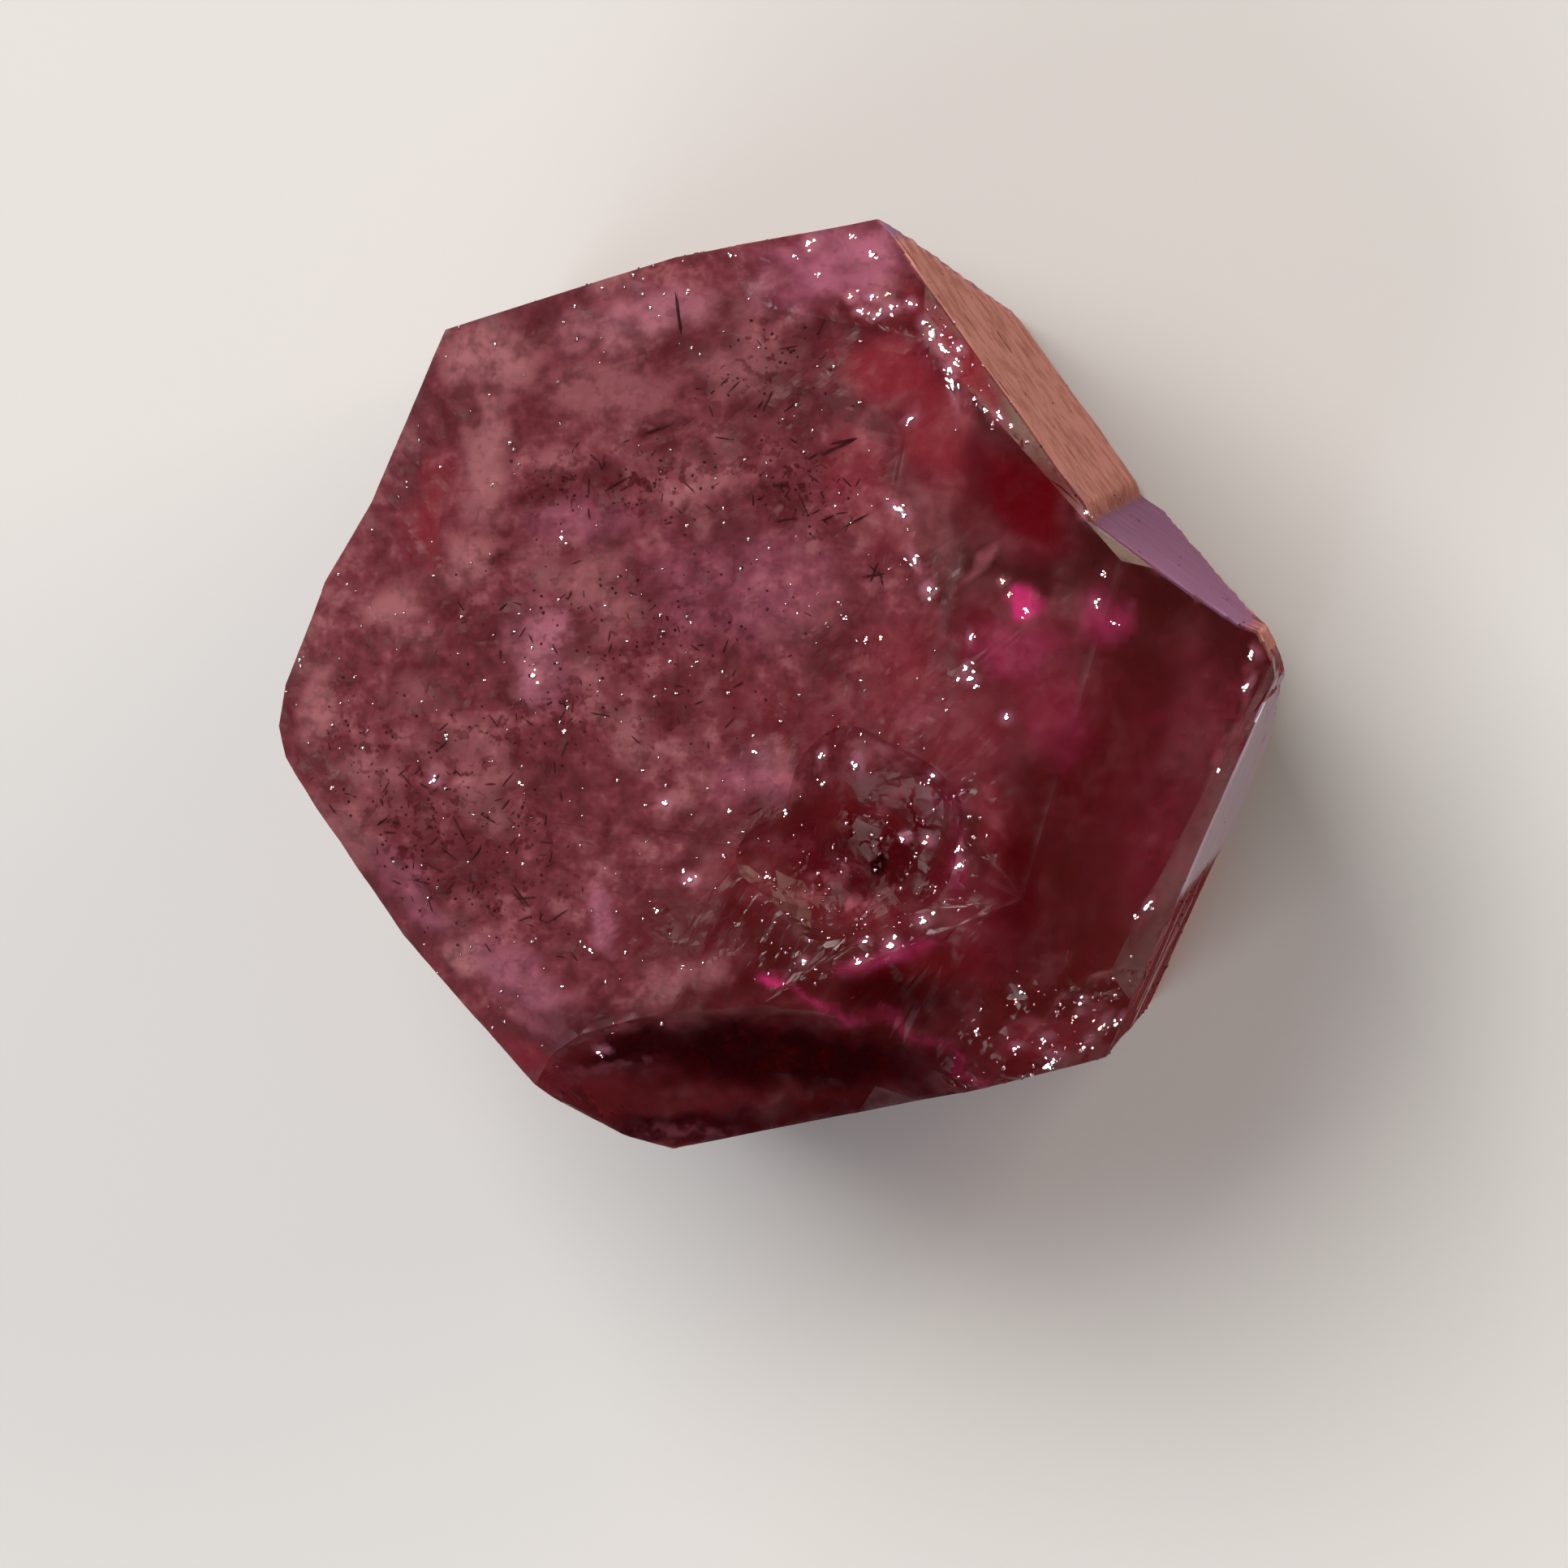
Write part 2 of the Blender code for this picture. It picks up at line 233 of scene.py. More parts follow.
# Single long needles: column, row, length, lay.
LONG_NEEDLES = (
    (1034, 550, 46, 24), (1042, 543, 36, 12), (1080, 708, 34, 8), (1082, 706, 28, -40),
    (1077, 704, 26, 70), (1086, 712, 22, -75), (1054, 642, 34, 28), (1046, 646, 20, 60),
    (836, 388, 50, -84), (534, 1068, 30, -24), (553, 1052, 24, -38), (642, 1104, 32, -52),
    (520, 1086, 22, -10), (604, 1010, 26, -32), (688, 1128, 26, 34), (470, 1012, 24, 40),
    (760, 596, 30, 30), (700, 590, 26, -20), (812, 528, 34, 18), (946, 494, 28, 64),
    (990, 622, 30, -66), (968, 640, 24, 10), (890, 540, 24, -8), (566, 1022, 34, -62),
    (650, 1106, 26, 4), (626, 960, 22, 50), (500, 960, 22, -50), (740, 880, 26, -12),
    (1012, 402, 20, 70), (972, 428, 20, 10), (905, 476, 24, 44), (930, 1000, 20, 30),
)

# Bright chips of each tint: column, row, size, stretch, lay.
WHITE = (1.0, 0.97, 0.98)
PINK = (1.0, 0.62, 0.74)
ORANGE = (1.0, 0.50, 0.36)
BLUE = (0.80, 0.86, 1.0)
CHIPS = {
    WHITE: (
        (1098, 1165, 9, 1.0, 0), (1138, 1135, 7, 1.1, 0), (1182, 1066, 6, 1.3, 60), (1054, 942, 7, 1.4, 80),
        (1010, 932, 5, 1.3, 70), (1150, 955, 6, 1.2, 0), (1012, 966, 4, 1.0, 0), (968, 1002, 4, 1.0, 0),
        (990, 1184, 5, 1.0, 0), (1240, 884, 6, 1.0, 0), (1145, 726, 7, 1.0, 0), (1127, 690, 6, 1.8, -70),
        (1108, 627, 8, 1.4, -30), (1147, 412, 9, 1.3, -60), (1160, 430, 7, 1.4, -50),
        (1138, 398, 6, 1.0, 0), (1173, 472, 8, 2.6, -78), (1170, 455, 6, 1.4, -60), (1121, 374, 5, 1.0, 0),
        (1176, 448, 5, 1.4, -50), (1213, 504, 4, 1.2, 0), (996, 300, 7, 1.0, 0), (900, 315, 3, 1.0, 0),
        (1350, 742, 5, 1.0, 0), (1337, 632, 6, 1.0, 0), (1535, 846, 6, 1.6, 60), (1541, 806, 5, 1.6, -70),
        (1500, 950, 4, 1.4, 60), (1411, 1118, 7, 1.5, 60), (1290, 1312, 7, 1.4, -50),
        (1286, 1282, 5, 1.2, 0), (1330, 1236, 5, 1.0, 0), (1374, 1262, 5, 1.3, 60), (1258, 1222, 4, 1.1, 0),
        (850, 1084, 6, 1.2, 0), (842, 1074, 4, 1.0, 0), (657, 832, 6, 1.0, 0), (820, 990, 5, 1.2, 0),
        (535, 961, 5, 1.0, 0), (640, 964, 4, 1.0, 0), (727, 1170, 4, 1.0, 0), (898, 1000, 3, 1.2, 0),
        (928, 926, 4, 1.0, 0), (692, 662, 4, 1.2, 0), (810, 1122, 4, 1.0, 0),
    ),
    PINK: (
        (1066, 1160, 5, 1.4, 10), (1058, 1186, 6, 1.5, 20), (1182, 1046, 5, 2.2, 80),
        (1112, 1034, 5, 1.0, 0), (1196, 786, 5, 1.6, 90), (1122, 516, 5, 1.8, 20), (1180, 430, 5, 1.2, -50),
        (1231, 513, 5, 1.6, -40), (1245, 524, 4, 1.2, -40), (1200, 492, 4, 1.2, 0), (1098, 378, 6, 1.2, 0),
        (1082, 388, 6, 1.4, 20), (1060, 384, 5, 1.2, 0), (1074, 366, 5, 1.3, 0), (1074, 315, 6, 1.6, 25),
        (978, 316, 4, 1.0, 0), (1050, 292, 4, 1.4, 60), (1009, 338, 4, 1.0, 0), (1372, 768, 4, 1.2, 0),
        (1358, 708, 4, 1.2, 0), (1398, 1128, 4, 1.2, 40), (1250, 1292, 5, 1.4, 0), (1335, 1290, 5, 1.1, 0),
        (1202, 1270, 4, 1.2, 0), (737, 1296, 5, 1.4, 0), (696, 900, 4, 1.0, 0), (1067, 788, 4, 1.0, 0),
        (1180, 838, 4, 1.0, 0), (1040, 762, 3, 1.0, 0), (945, 1080, 4, 1.4, 0), (1265, 752, 5, 1.8, -40),
    ),
    ORANGE: (
        (1140, 1038, 6, 1.1, 0), (1048, 366, 5, 1.0, 0), (1094, 362, 4, 1.0, 0), (1236, 716, 5, 1.2, 0),
        (1243, 733, 4, 1.2, 0), (1325, 1252, 5, 1.0, 0), (1355, 1266, 6, 1.8, 60), (1252, 1234, 3, 1.0, 0),
        (1085, 785, 4, 1.0, 0),
    ),
    BLUE: (
        (1196, 836, 7, 1.3, 0), (1190, 824, 5, 1.5, 80), (1203, 845, 4, 1.2, 0), (1114, 634, 5, 1.2, 0),
        (1296, 1308, 5, 1.4, -20),
    ),
}

# Masks that the materials read from the mesh.
SHADER_MASKS = (
    "finish", "bloom", "pale", "dark", "lilac", "rosy", "shadow", "deep", "painted_magenta_glint", "flecks_and_painted_highlights",
    "painted_glint_halo", "needles", "ridge",
)
# The prism faces whose ledges carry painted reflections, tan, lilac and white: the bearings they face.
TAN_REFLECTION_BEARING = 36.0
LILAC_REFLECTION_BEARING = 62.0
WHITE_REFLECTION_BEARING = -24.0
WHITE_REFLECTION_SPAN = (-2.7, -2.3)
# How much the skin hides under each mask; besides the bloom it carries painted shade, painted highlights
# and painted glow.
SKIN_COVER = {
    "haze": 1.0, "rosy": 0.82, "shadow": 0.96, "deep": 0.75, "flecks_and_painted_highlights": 0.80, "painted_magenta_glint": 0.85, "painted_glint_halo": 0.75,
}
# Painted glow round the larger bright chips: least chip size, spread and strength.
PAINTED_HALO_LEAST_SIZE = 5
PAINTED_HALO_SPREAD = 1.8
PAINTED_HALO_STRENGTH = 0.8
# How far round from its bearing each painted reflection reaches, in degrees.
REFLECTION_SPREAD = 26.0
BASE_MARGIN = 0.05

# The clear body: absorption density is per metre.
CLEAR_COLOUR = (1.0, 0.93, 0.94, 1.0)
BERYL_IOR = 1.57
ABSORB_COLOUR = (0.885, 0.04, 0.36, 1.0)
ABSORB_DENSITY = 800.0

# The bloom skin: its height over the body, and the least and most it hides.
BLOOM_LIFT = 0.006
MOTTLE_BASE = 0.175
BLOOM_CUTOFF = 0.02
MOST_BLOOM = 0.97

# Growth ledges round the prism faces: sections a turn, heights, widths, and the noise that breaks them.
LEDGE_TURNS = 300
LEDGE_LOWEST = 0.15
LEDGE_HIGHEST = 7.2
LEDGE_STEP = 0.075
LEDGE_WIDE = 0.021
LEDGE_NARROW = 0.008
LEDGE_ROOT = 0.03
LEDGE_THICKNESS = 0.010
LEDGE_GAP = 0.05
LEDGE_BREAK = -0.42
LEDGE_START_RADIUS = 20.0
LEDGE_NOISE_PLACE = Vector((7.0, 3.0, 1.0))
RAGGED_NOISE_PLACE = Vector((2.0, 8.0, 5.0))

# Colours of the ledges and the bloom, linear; several are painted light, as marked.
LEDGE_ROSE = (0.30, 0.060, 0.075)
ROSE = (0.180, 0.037, 0.051)
BROWN_RED = (0.070, 0.008, 0.010)
PALE_ROSE = (0.40, 0.150, 0.165)
# Painted lilac sheen of the light on the pale bloom.
PAINTED_SHEEN_LILAC = (0.40, 0.120, 0.200)
ROSY_RED = (0.29, 0.024, 0.040)
SHADOW_RED = (0.012, 0.0002, 0.0006)
# Pink of the pale chips and of the painted edge highlights.
FLECK_AND_HIGHLIGHT_PINK = (0.34, 0.085, 0.115)
# Painted shade over clear parts that look dark.
DEEP_SHADE_RED = (0.110, 0.0020, 0.0050)
# Painted glow round the bright chips.
PAINTED_HALO_PINK = (0.46, 0.160, 0.230)
# Painted highlight colour of the magenta glints and ridge line.
PAINTED_MAGENTA_GLINT = (0.62, 0.030, 0.170)
# Tan, lilac and white: painted reflections of the surroundings, carried by the ledges on three prism faces.
REFLECTED_TAN_LIGHT = (0.80, 0.360, 0.300)
REFLECTED_TAN_DARK = (0.58, 0.235, 0.180)
REFLECTED_LILAC = (0.35, 0.165, 0.290)
REFLECTED_WHITE = (0.90, 0.80, 0.95)

# Veils inside: patch list, depth under the growth end, waviness, colour, cover and grain.
VEILS = {
    "deep_red_veil": ("glow", 1.90, 0.30, (0.85, 0.55, 0.60), 0.75, 700.0),
    "rose_veil": ("glow", 0.75, 0.20, (0.60, 0.22, 0.28), 0.30, 1500.0),
    # A crack sheet whose bright magenta colour is a painted internal reflection.
    "magenta_crack": ("painted_magenta_glint", 0.35, 0.10, (0.95, 0.16, 0.42), 0.85, 2400.0),
}
VEIL_STEP = 0.11
VEIL_REACH = 6.2
VEIL_MARGIN = 0.25

# Scattered grains: mask, count per square millimetre, smallest, largest, tilt, lift and seed.
SCATTERS = {
    "dark_needles": ("needles", 18.0, 0.06, 0.18, 0.30, 0.006, 3),
    "dark_specks": ("needles", 40.0, 0.018, 0.045, 0.60, 0.003, 8),
    "face_sparkles": ("etched", 5.0, 0.010, 0.030, 0.80, 0.014, 5),
    "ridge_sparkles": ("sparkly", 20.0, 0.012, 0.032, 0.85, 0.012, 12),
}
CHIP_CORNERS = 6
CHIP_LIFT = 0.01
CHIP_SCALE = 0.66
CHIP_SEED = 4
VEIL_TOP = 9.0
SPARKLY_ZONES = ("chipped", "chipped_corner", "chipped_bevel")

SPINDLE_WAIST = 0.55
DARK_BROWN = (0.038, 0.007, 0.008)
WARM_BROWN = (0.080, 0.020, 0.022)
CHIP_CLUSTER = (1.0, 0.62, 0.45, 0.38)
CHIP_SCATTER = 0.75
CHIP_SPIN = 60.0
NEEDLE_LIFT = 0.012

# ---------------------------------------------------------------- camera and light


def view_axes():
    """Right, up and towards-the-camera unit vectors of the main view."""
    towards = VIEW_LEAN.normalized()
    up = Vector((0.0, 1.0, 0.0))
    up = (up - towards * up.dot(towards)).normalized()
    return up.cross(towards), up, towards


def sight_line(column, row):
    """Start and direction, in millimetres, of the line of sight through a place in the frame."""
    right, up, towards = view_axes()
    eye = VIEW_TARGET + towards * VIEW_DISTANCE
    across = (column - FRAME_PIXELS / 2) / PIXELS_PER_MM
    rise = (FRAME_PIXELS / 2 - row) / PIXELS_PER_MM
    return eye, (VIEW_TARGET + right * across + up * rise - eye).normalized()


def level_spot(column, row):
    """Where a place in the frame falls on the growth face's level, in millimetres."""
    eye, aim = sight_line(column, row)
    return eye + aim * ((VIEW_TARGET.z - eye.z) / aim.z)


def make_camera():
    right, up, towards = view_axes()
    lens_data = bpy.data.cameras.new("camera")
    half_width = FRAME_PIXELS / 2 / PIXELS_PER_MM
    lens_data.sensor_width = 36.0
    lens_data.lens = lens_data.sensor_width / 2 * VIEW_DISTANCE / half_width
    lens_data.clip_start = 0.005
    lens_data.clip_end = 20.0
    camera = bpy.data.objects.new("camera", lens_data)
    turn = Matrix((right, up, towards)).transposed().to_4x4()
    place = (VIEW_TARGET + towards * VIEW_DISTANCE) * MM
    camera.matrix_world = Matrix.Translation(place) @ turn
    bpy.context.scene.collection.objects.link(camera)
    bpy.context.scene.camera = camera


def direction(bearing, elevation):
    """Unit vector at a bearing from +X and a height above level, in degrees."""
    turn = math.radians(bearing)
    rise = math.radians(elevation)
    return Vector((math.cos(turn) * math.cos(rise), math.sin(turn) * math.cos(rise), math.sin(rise)))


def make_softbox(name, bearing, elevation, distance, size, glow, colour):
    """A square soft light aimed at the crystal; glow is the brightness of its surface."""
    light = bpy.data.lights.new(name, "AREA")
    light.shape = "SQUARE"
    light.size = size
    light.energy = glow * math.pi * size * size
    light.color = colour
    lamp = bpy.data.objects.new(name, light)
    away = direction(bearing, elevation)
    lamp.location = away * distance
    lamp.rotation_mode = "QUATERNION"
    lamp.rotation_quaternion = away.to_track_quat("Z", "Y")
    bpy.context.scene.collection.objects.link(lamp)


def make_lights():
    for name, settings in SOFTBOXES.items():
        make_softbox(name, *settings)
    world = bpy.data.worlds.new("studio")
    world.use_nodes = True
    background = world.node_tree.nodes["Background"]
    background.inputs["Color"].default_value = SKY_COLOUR
    background.inputs["Strength"].default_value = SKY_STRENGTH
    bpy.context.scene.world = world
    bpy.context.scene.view_settings.view_transform = "Standard"
    paths = bpy.context.scene.cycles
    paths.max_bounces = PATH_BOUNCES
    paths.transmission_bounces = PATH_BOUNCES
    paths.diffuse_bounces = DIFFUSE_BOUNCES
    paths.glossy_bounces = GLOSSY_BOUNCES


# ---------------------------------------------------------------- node helpers


def new_material(name, **values):
    """A new material, its tree and its Principled shader, whose inputs are set by their own names."""
    material = bpy.data.materials.new(name)
    material.use_nodes = True
    shader = material.node_tree.nodes["Principled BSDF"]
    for socket, value in values.items():
        shader.inputs[socket.replace("_", " ")].default_value = value
    return material, material.node_tree, shader


def add(tree, kind, **values):
    """Add a node, set its properties by lower-case name and its inputs by their own names."""
    node = tree.nodes.new(kind)
    for name, value in values.items():
        if name[0].isupper():
            node.inputs[name.replace("_", " ")].default_value = value
        else:
            setattr(node, name, value)
    return node


def attribute(tree, name):
    """Factor of a named attribute of the mesh."""
    return add(tree, "ShaderNodeAttribute", attribute_name=name).outputs["Fac"]


def noise_at(tree, scale, detail=3.0, roughness=0.55):
    """Noise over Object coordinates; scale is in repeats per metre."""
    place = add(tree, "ShaderNodeTexCoord").outputs["Object"]
    texture = add(tree, "ShaderNodeTexNoise", Scale=scale, Detail=detail, Roughness=roughness)
    tree.links.new(place, texture.inputs["Vector"])
    return texture.outputs["Fac"]


def remap(tree, value, low, high, to_low=0.0, to_high=1.0):
    """Smoothly stretch a value from one range to another."""
    node = add(tree, "ShaderNodeMapRange", interpolation_type="SMOOTHSTEP")
    node.inputs["From Min"].default_value = low
    node.inputs["From Max"].default_value = high
    node.inputs["To Min"].default_value = to_low
    node.inputs["To Max"].default_value = to_high
    tree.links.new(value, node.inputs["Value"])
    return node.outputs["Result"]


def calc(tree, operation, first, second, clamp=False):
    """One math step on sockets or plain numbers."""
    node = add(tree, "ShaderNodeMath", operation=operation, use_clamp=clamp)
    for socket, value in zip(node.inputs, (first, second)):
        if isinstance(value, (int, float)):
            socket.default_value = value
        else:
            tree.links.new(value, socket)
    return node.outputs["Value"]


def blend_colours(tree, factor, first, second):
    """Mix two colours, each a socket or a plain colour."""
    node = add(tree, "ShaderNodeMix", data_type="RGBA")
    colour_inputs = [socket for socket in node.inputs if socket.type == "RGBA"]
    for socket, value in zip(colour_inputs, (first, second)):
        if isinstance(value, tuple):
            socket.default_value = (*value, 1.0)
        else:
            tree.links.new(value, socket)
    if isinstance(factor, float):
        node.inputs[0].default_value = factor
    else:
        tree.links.new(factor, node.inputs[0])
    return next(socket for socket in node.outputs if socket.type == "RGBA")


def make_floor():
    """Pale matt floor that the crystal stands on."""
    bm = bmesh.new()
    bmesh.ops.create_grid(bm, x_segments=8, y_segments=8, size=FLOOR_HALF_SIZE)
    bmesh.ops.translate(bm, verts=bm.verts[:], vec=(0.0, 0.0, -FLOOR_GAP * MM))
    mesh = finished_mesh("floor", bm)
    floor = bpy.data.objects.new("floor", mesh)
    bpy.context.scene.collection.objects.link(floor)
    settings = {"Base_Color": FLOOR_COLOUR, "Roughness": FLOOR_ROUGHNESS, "Specular_IOR_Level": 0.0}
    mesh.materials.append(new_material("pale_floor", **settings)[0])


# ---------------------------------------------------------------- small mesh helpers


def finished_mesh(name, bm):
    """Turn a bmesh into a named mesh and free it."""
    mesh = bpy.data.meshes.new(name)
    bm.to_mesh(mesh)
    bm.free()
    return mesh


def bridge(bm, ring, following):
    """Join two rings of corners with a band of faces."""
    for k in range(len(ring)):
        after = (k + 1) % len(ring)
        bm.faces.new((ring[k], ring[after], following[after], following[k]))


def place_piece(name, mesh, material):
    """Link a finished mesh as a piece that rides on the crystal."""
    piece = bpy.data.objects.new(name, mesh)
    bpy.context.scene.collection.objects.link(piece)
    mesh.materials.clear()
    mesh.materials.append(material)
    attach(piece, "root")
    return piece


def smooth_step(values, low, high):
    """0 below low, 1 above high, and a smooth rise between."""
    t = np.clip((values - low) / (high - low), 0.0, 1.0)
    return t * t * (3.0 - 2.0 * t)


def sample_noise(points, size, shift=0.0, octaves=1):
    """Noise of a given grain size at each point, about -1 to 1."""
    offset = Vector((shift, -shift, shift * 0.5))
    if octaves == 1:
        return np.array([noise.noise(Vector(p) / size + offset) for p in points])
    return np.array([noise.fractal(Vector(p) / size + offset, 0.6, 2.1, octaves) for p in points])


def zone_depth(points, corners):
    """Distance inside (positive) or outside (negative) a zone's outline, for points in plan."""
    ring = np.array([level_spot(*corner)[:2] for corner in corners])
    nearest = np.full(len(points), 1e9)
    inside = np.zeros(len(points), bool)
    for start, end in zip(ring, np.roll(ring, -1, axis=0)):
        run = end - start
        along = np.clip(((points - start) @ run) / (run @ run), 0.0, 1.0)
        nearest = np.minimum(nearest, np.linalg.norm(points - start - along[:, None] * run, axis=1))
        crosses = (start[1] > points[:, 1]) != (end[1] > points[:, 1])
        rise = np.where(abs(run[1]) < 1e-9, 1e-9, run[1])
        crossing = start[0] + (points[:, 1] - start[1]) * run[0] / rise
        inside ^= crosses & (points[:, 0] < crossing)
    return np.where(inside, nearest, -nearest)


def in_zone(points, name, jitter):
    """Soft 0 to 1 membership of a named zone, with a ragged border."""
    depth = zone_depth(points, ZONES[name]) + jitter
    return smooth_step(depth, -ZONE_SOFTNESS / 2, ZONE_SOFTNESS / 2)


def clouds(points, patches):
    """Strongest of several soft elliptical patches at each point in plan."""
    result = np.zeros(len(points))
    for column, row, half_length, half_width, lay, strength in patches:
        centre = np.array(level_spot(column, row)[:2])
        turn = math.radians(lay)
        offset = points - centre
        reach = np.hypot(
            offset @ np.array((math.cos(turn), math.sin(turn))) / (half_length / PIXELS_PER_MM),
            offset @ np.array((-math.sin(turn), math.cos(turn))) / (half_width / PIXELS_PER_MM),
        )
        result = np.maximum(result, strength * (1.0 - smooth_step(reach, 0.35, 1.35)))
    return result


# ---------------------------------------------------------------- the crystal's body


def ridge_points(bm):
    """Points, in millimetres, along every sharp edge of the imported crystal."""
    points = []
    for edge in bm.edges:
        if len(edge.link_faces) == 2 and edge.calc_face_angle() > RIDGE_ANGLE:
            start, end = (vert.co / MM for vert in edge.verts)
            count = max(2, int((end - start).length / RIDGE_STEP))
            points += [start.lerp(end, k / (count - 1)) for k in range(count)]
    tree = KDTree(len(points))
    for index, point in enumerate(points):
        tree.insert(point, index)
    tree.balance()
    return tree


def refine(bm):
    """Split long edges until every face is small enough for its place."""
    for _ in range(REFINE_PASSES):
        bm.normal_update()
        too_long = []
        for edge in bm.edges:
            on_top = any(face.normal.z > TOP_SLOPE for face in edge.link_faces)
            limit = TOP_EDGE_LENGTH if on_top else SIDE_EDGE_LENGTH
            if edge.calc_length() > limit * MM:
                too_long.append(edge)
        if not too_long:
            break
        bmesh.ops.subdivide_edges(bm, edges=too_long, cuts=1)
        bmesh.ops.triangulate(bm, faces=bm.faces[:])


def facing_zone(normals, bearing, spread):
    """1 where a normal is level and faces a bearing, fading to 0 at the spread in degrees."""
    aim = np.array(direction(bearing, 0.0))
    return smooth_step(normals @ aim, math.cos(math.radians(spread)), math.cos(math.radians(spread / 2)))


def zone_masks(points, ridge_distance):
    """Named 0 to 1 masks of the crystal's finish at each point, in millimetres."""
    ragged = RAGGED_REACH * sample_noise(points, *NOISES["ragged"])
    warp = np.stack([sample_noise(points, *NOISES[name]) for name in ("warp across", "warp up")], axis=1)
    plan = points[:, :2]
    soft_plan = plan + WARP_REACH * warp
    masks = {name.replace(" ", "_"): in_zone(plan, name, ragged) for name in ZONES}
    masks.update({name: clouds(soft_plan, patches) for name, patches in PATCHES.items()})
    masks["needles"] = clouds(soft_plan, NEEDLE_CLOUDS) * masks["etched"]
    # Painted glow round each larger bright chip.
    painted_halos = [
        (column, row, PAINTED_HALO_SPREAD * size * stretch, PAINTED_HALO_SPREAD * size / stretch, lay, PAINTED_HALO_STRENGTH)
        for chips in CHIPS.values() for column, row, size, stretch, lay in chips
        if size >= PAINTED_HALO_LEAST_SIZE
    ]
    masks["painted_glint_halo"] = clouds(plan, painted_halos)
    cover = np.maximum(ETCHED_COVER * masks["etched"], CORNER_COVER * masks["corner"])
    cover = np.maximum(cover, HAZY_COVER * masks["hazy"]) * (1.0 - masks["gap"])
    layers = [cover] + [amount * masks[name] for name, amount in SKIN_COVER.items()]
    masks["bloom"] = np.maximum.reduce(layers)
    broken = smooth_step(sample_noise(points, *NOISES["broken"]), -0.15, 0.25)
    worn = 0.5 + 0.5 * sample_noise(points, *NOISES["worn"])
    masks["ridge"] = (1.0 - smooth_step(ridge_distance, 0.02, RIDGE_WIDTH)) * broken
    finish = LEAST_FINISH + WORN_FINISH * worn + RIDGE_FINISH * masks["ridge"]
    for name, amount in ZONE_FINISH.items():
        finish += amount * masks[name]
    masks["finish"] = finish
    return masks


def chip_relief(flat, size, shift):
    """Height, about -1 to 1, of small tilted chips that meet in steps."""
    heights = np.empty(len(flat))
    for index, point in enumerate(flat):
        spot = Vector(point) / size + Vector((shift, shift, 0.5))
        core = noise.voronoi(spot)[1][0]
        tilt = noise.cell_vector(core * 977.0)
        away = spot - core
        heights[index] = away.x * (tilt.x - 0.5) * 2.0 + away.y * (tilt.y - 0.5) * 2.0
    return heights


def roughen(bm, masks, top):
    """Raise the etched relief and chips on the growth end and faint swells on the prism faces."""
    verts = bm.verts[:]
    points = np.array([vert.co / MM for vert in verts])
    flat = points * np.array((1.0, 1.0, 0.0))
    coarse = sample_noise(flat, *NOISES["coarse"])
    grain = sample_noise(flat, *NOISES["grain"])
    swell = sample_noise(flat, *NOISES["swell"])
    crust = chip_relief(flat, *CRUST)
    chips = chip_relief(flat, *BROKEN_CHIPS)
    etched = np.maximum(masks["etched"], masks["corner"])
    chipped = np.maximum.reduce([masks["chipped"], masks["chipped_corner"], masks["chipped_bevel"]])
    rise = etched * (COARSE_RELIEF * coarse + GRAIN_RELIEF * grain + CRUST_RELIEF * crust)
    rise += PATCH_RELIEF * (masks["pale"] - masks["dark"]) * etched
    rise += (1.0 - etched) * (SWELL_RELIEF * swell + SMOOTH_RELIEF * coarse)
    rise += chipped * (CHIP_RELIEF * chips + CRUST_RELIEF * crust)
    bulge = SIDE_BULGE * sample_noise(points, *NOISES["bulge"])
    for vert, on_top, up, out in zip(verts, top, rise, bulge):
        if on_top:
            vert.co.z += up * MM
        elif vert.co.z > BASE_MARGIN * MM:
            vert.co += vert.normal * out * MM


def store_masks(mesh, masks):
    """Write each mask as a point attribute of a mesh."""
    for name, values in masks.items():
        layer = mesh.attributes.new(name, "FLOAT", "POINT")
        layer.data.foreach_set("value", np.ascontiguousarray(values, np.float32))


def finish_sides(points, masks, side):
    """Give the prism faces patches of rose bloom, drawn out along the growth lines."""
    level = points * np.array(SIDE_STRETCH)
    patches = smooth_step(sample_noise(level, *NOISES["side patches"]), -0.30, 0.45)
    streaks = smooth_step(sample_noise(level, *NOISES["side streaks"]), -0.20, 0.40)
    rise = smooth_step(points[:, 2], BASE_MARGIN, 4 * BASE_MARGIN)
    crown = smooth_step(points[:, 2], *CROWN_SPAN)
    cover = 0.12 + 0.50 * patches + 0.16 * streaks + 0.20 * crown
    masks["bloom"] = masks["bloom"] + side * rise * cover
    masks["rosy"] = masks["rosy"] + side * (0.85 - 0.45 * crown)
    masks["pale"] = masks["pale"] + side * 0.55 * streaks * patches
    masks["needles"] = masks["needles"] + side * rise * 0.16 * patches
    masks["finish"] = masks["finish"] + side * (0.05 + 0.20 * patches)


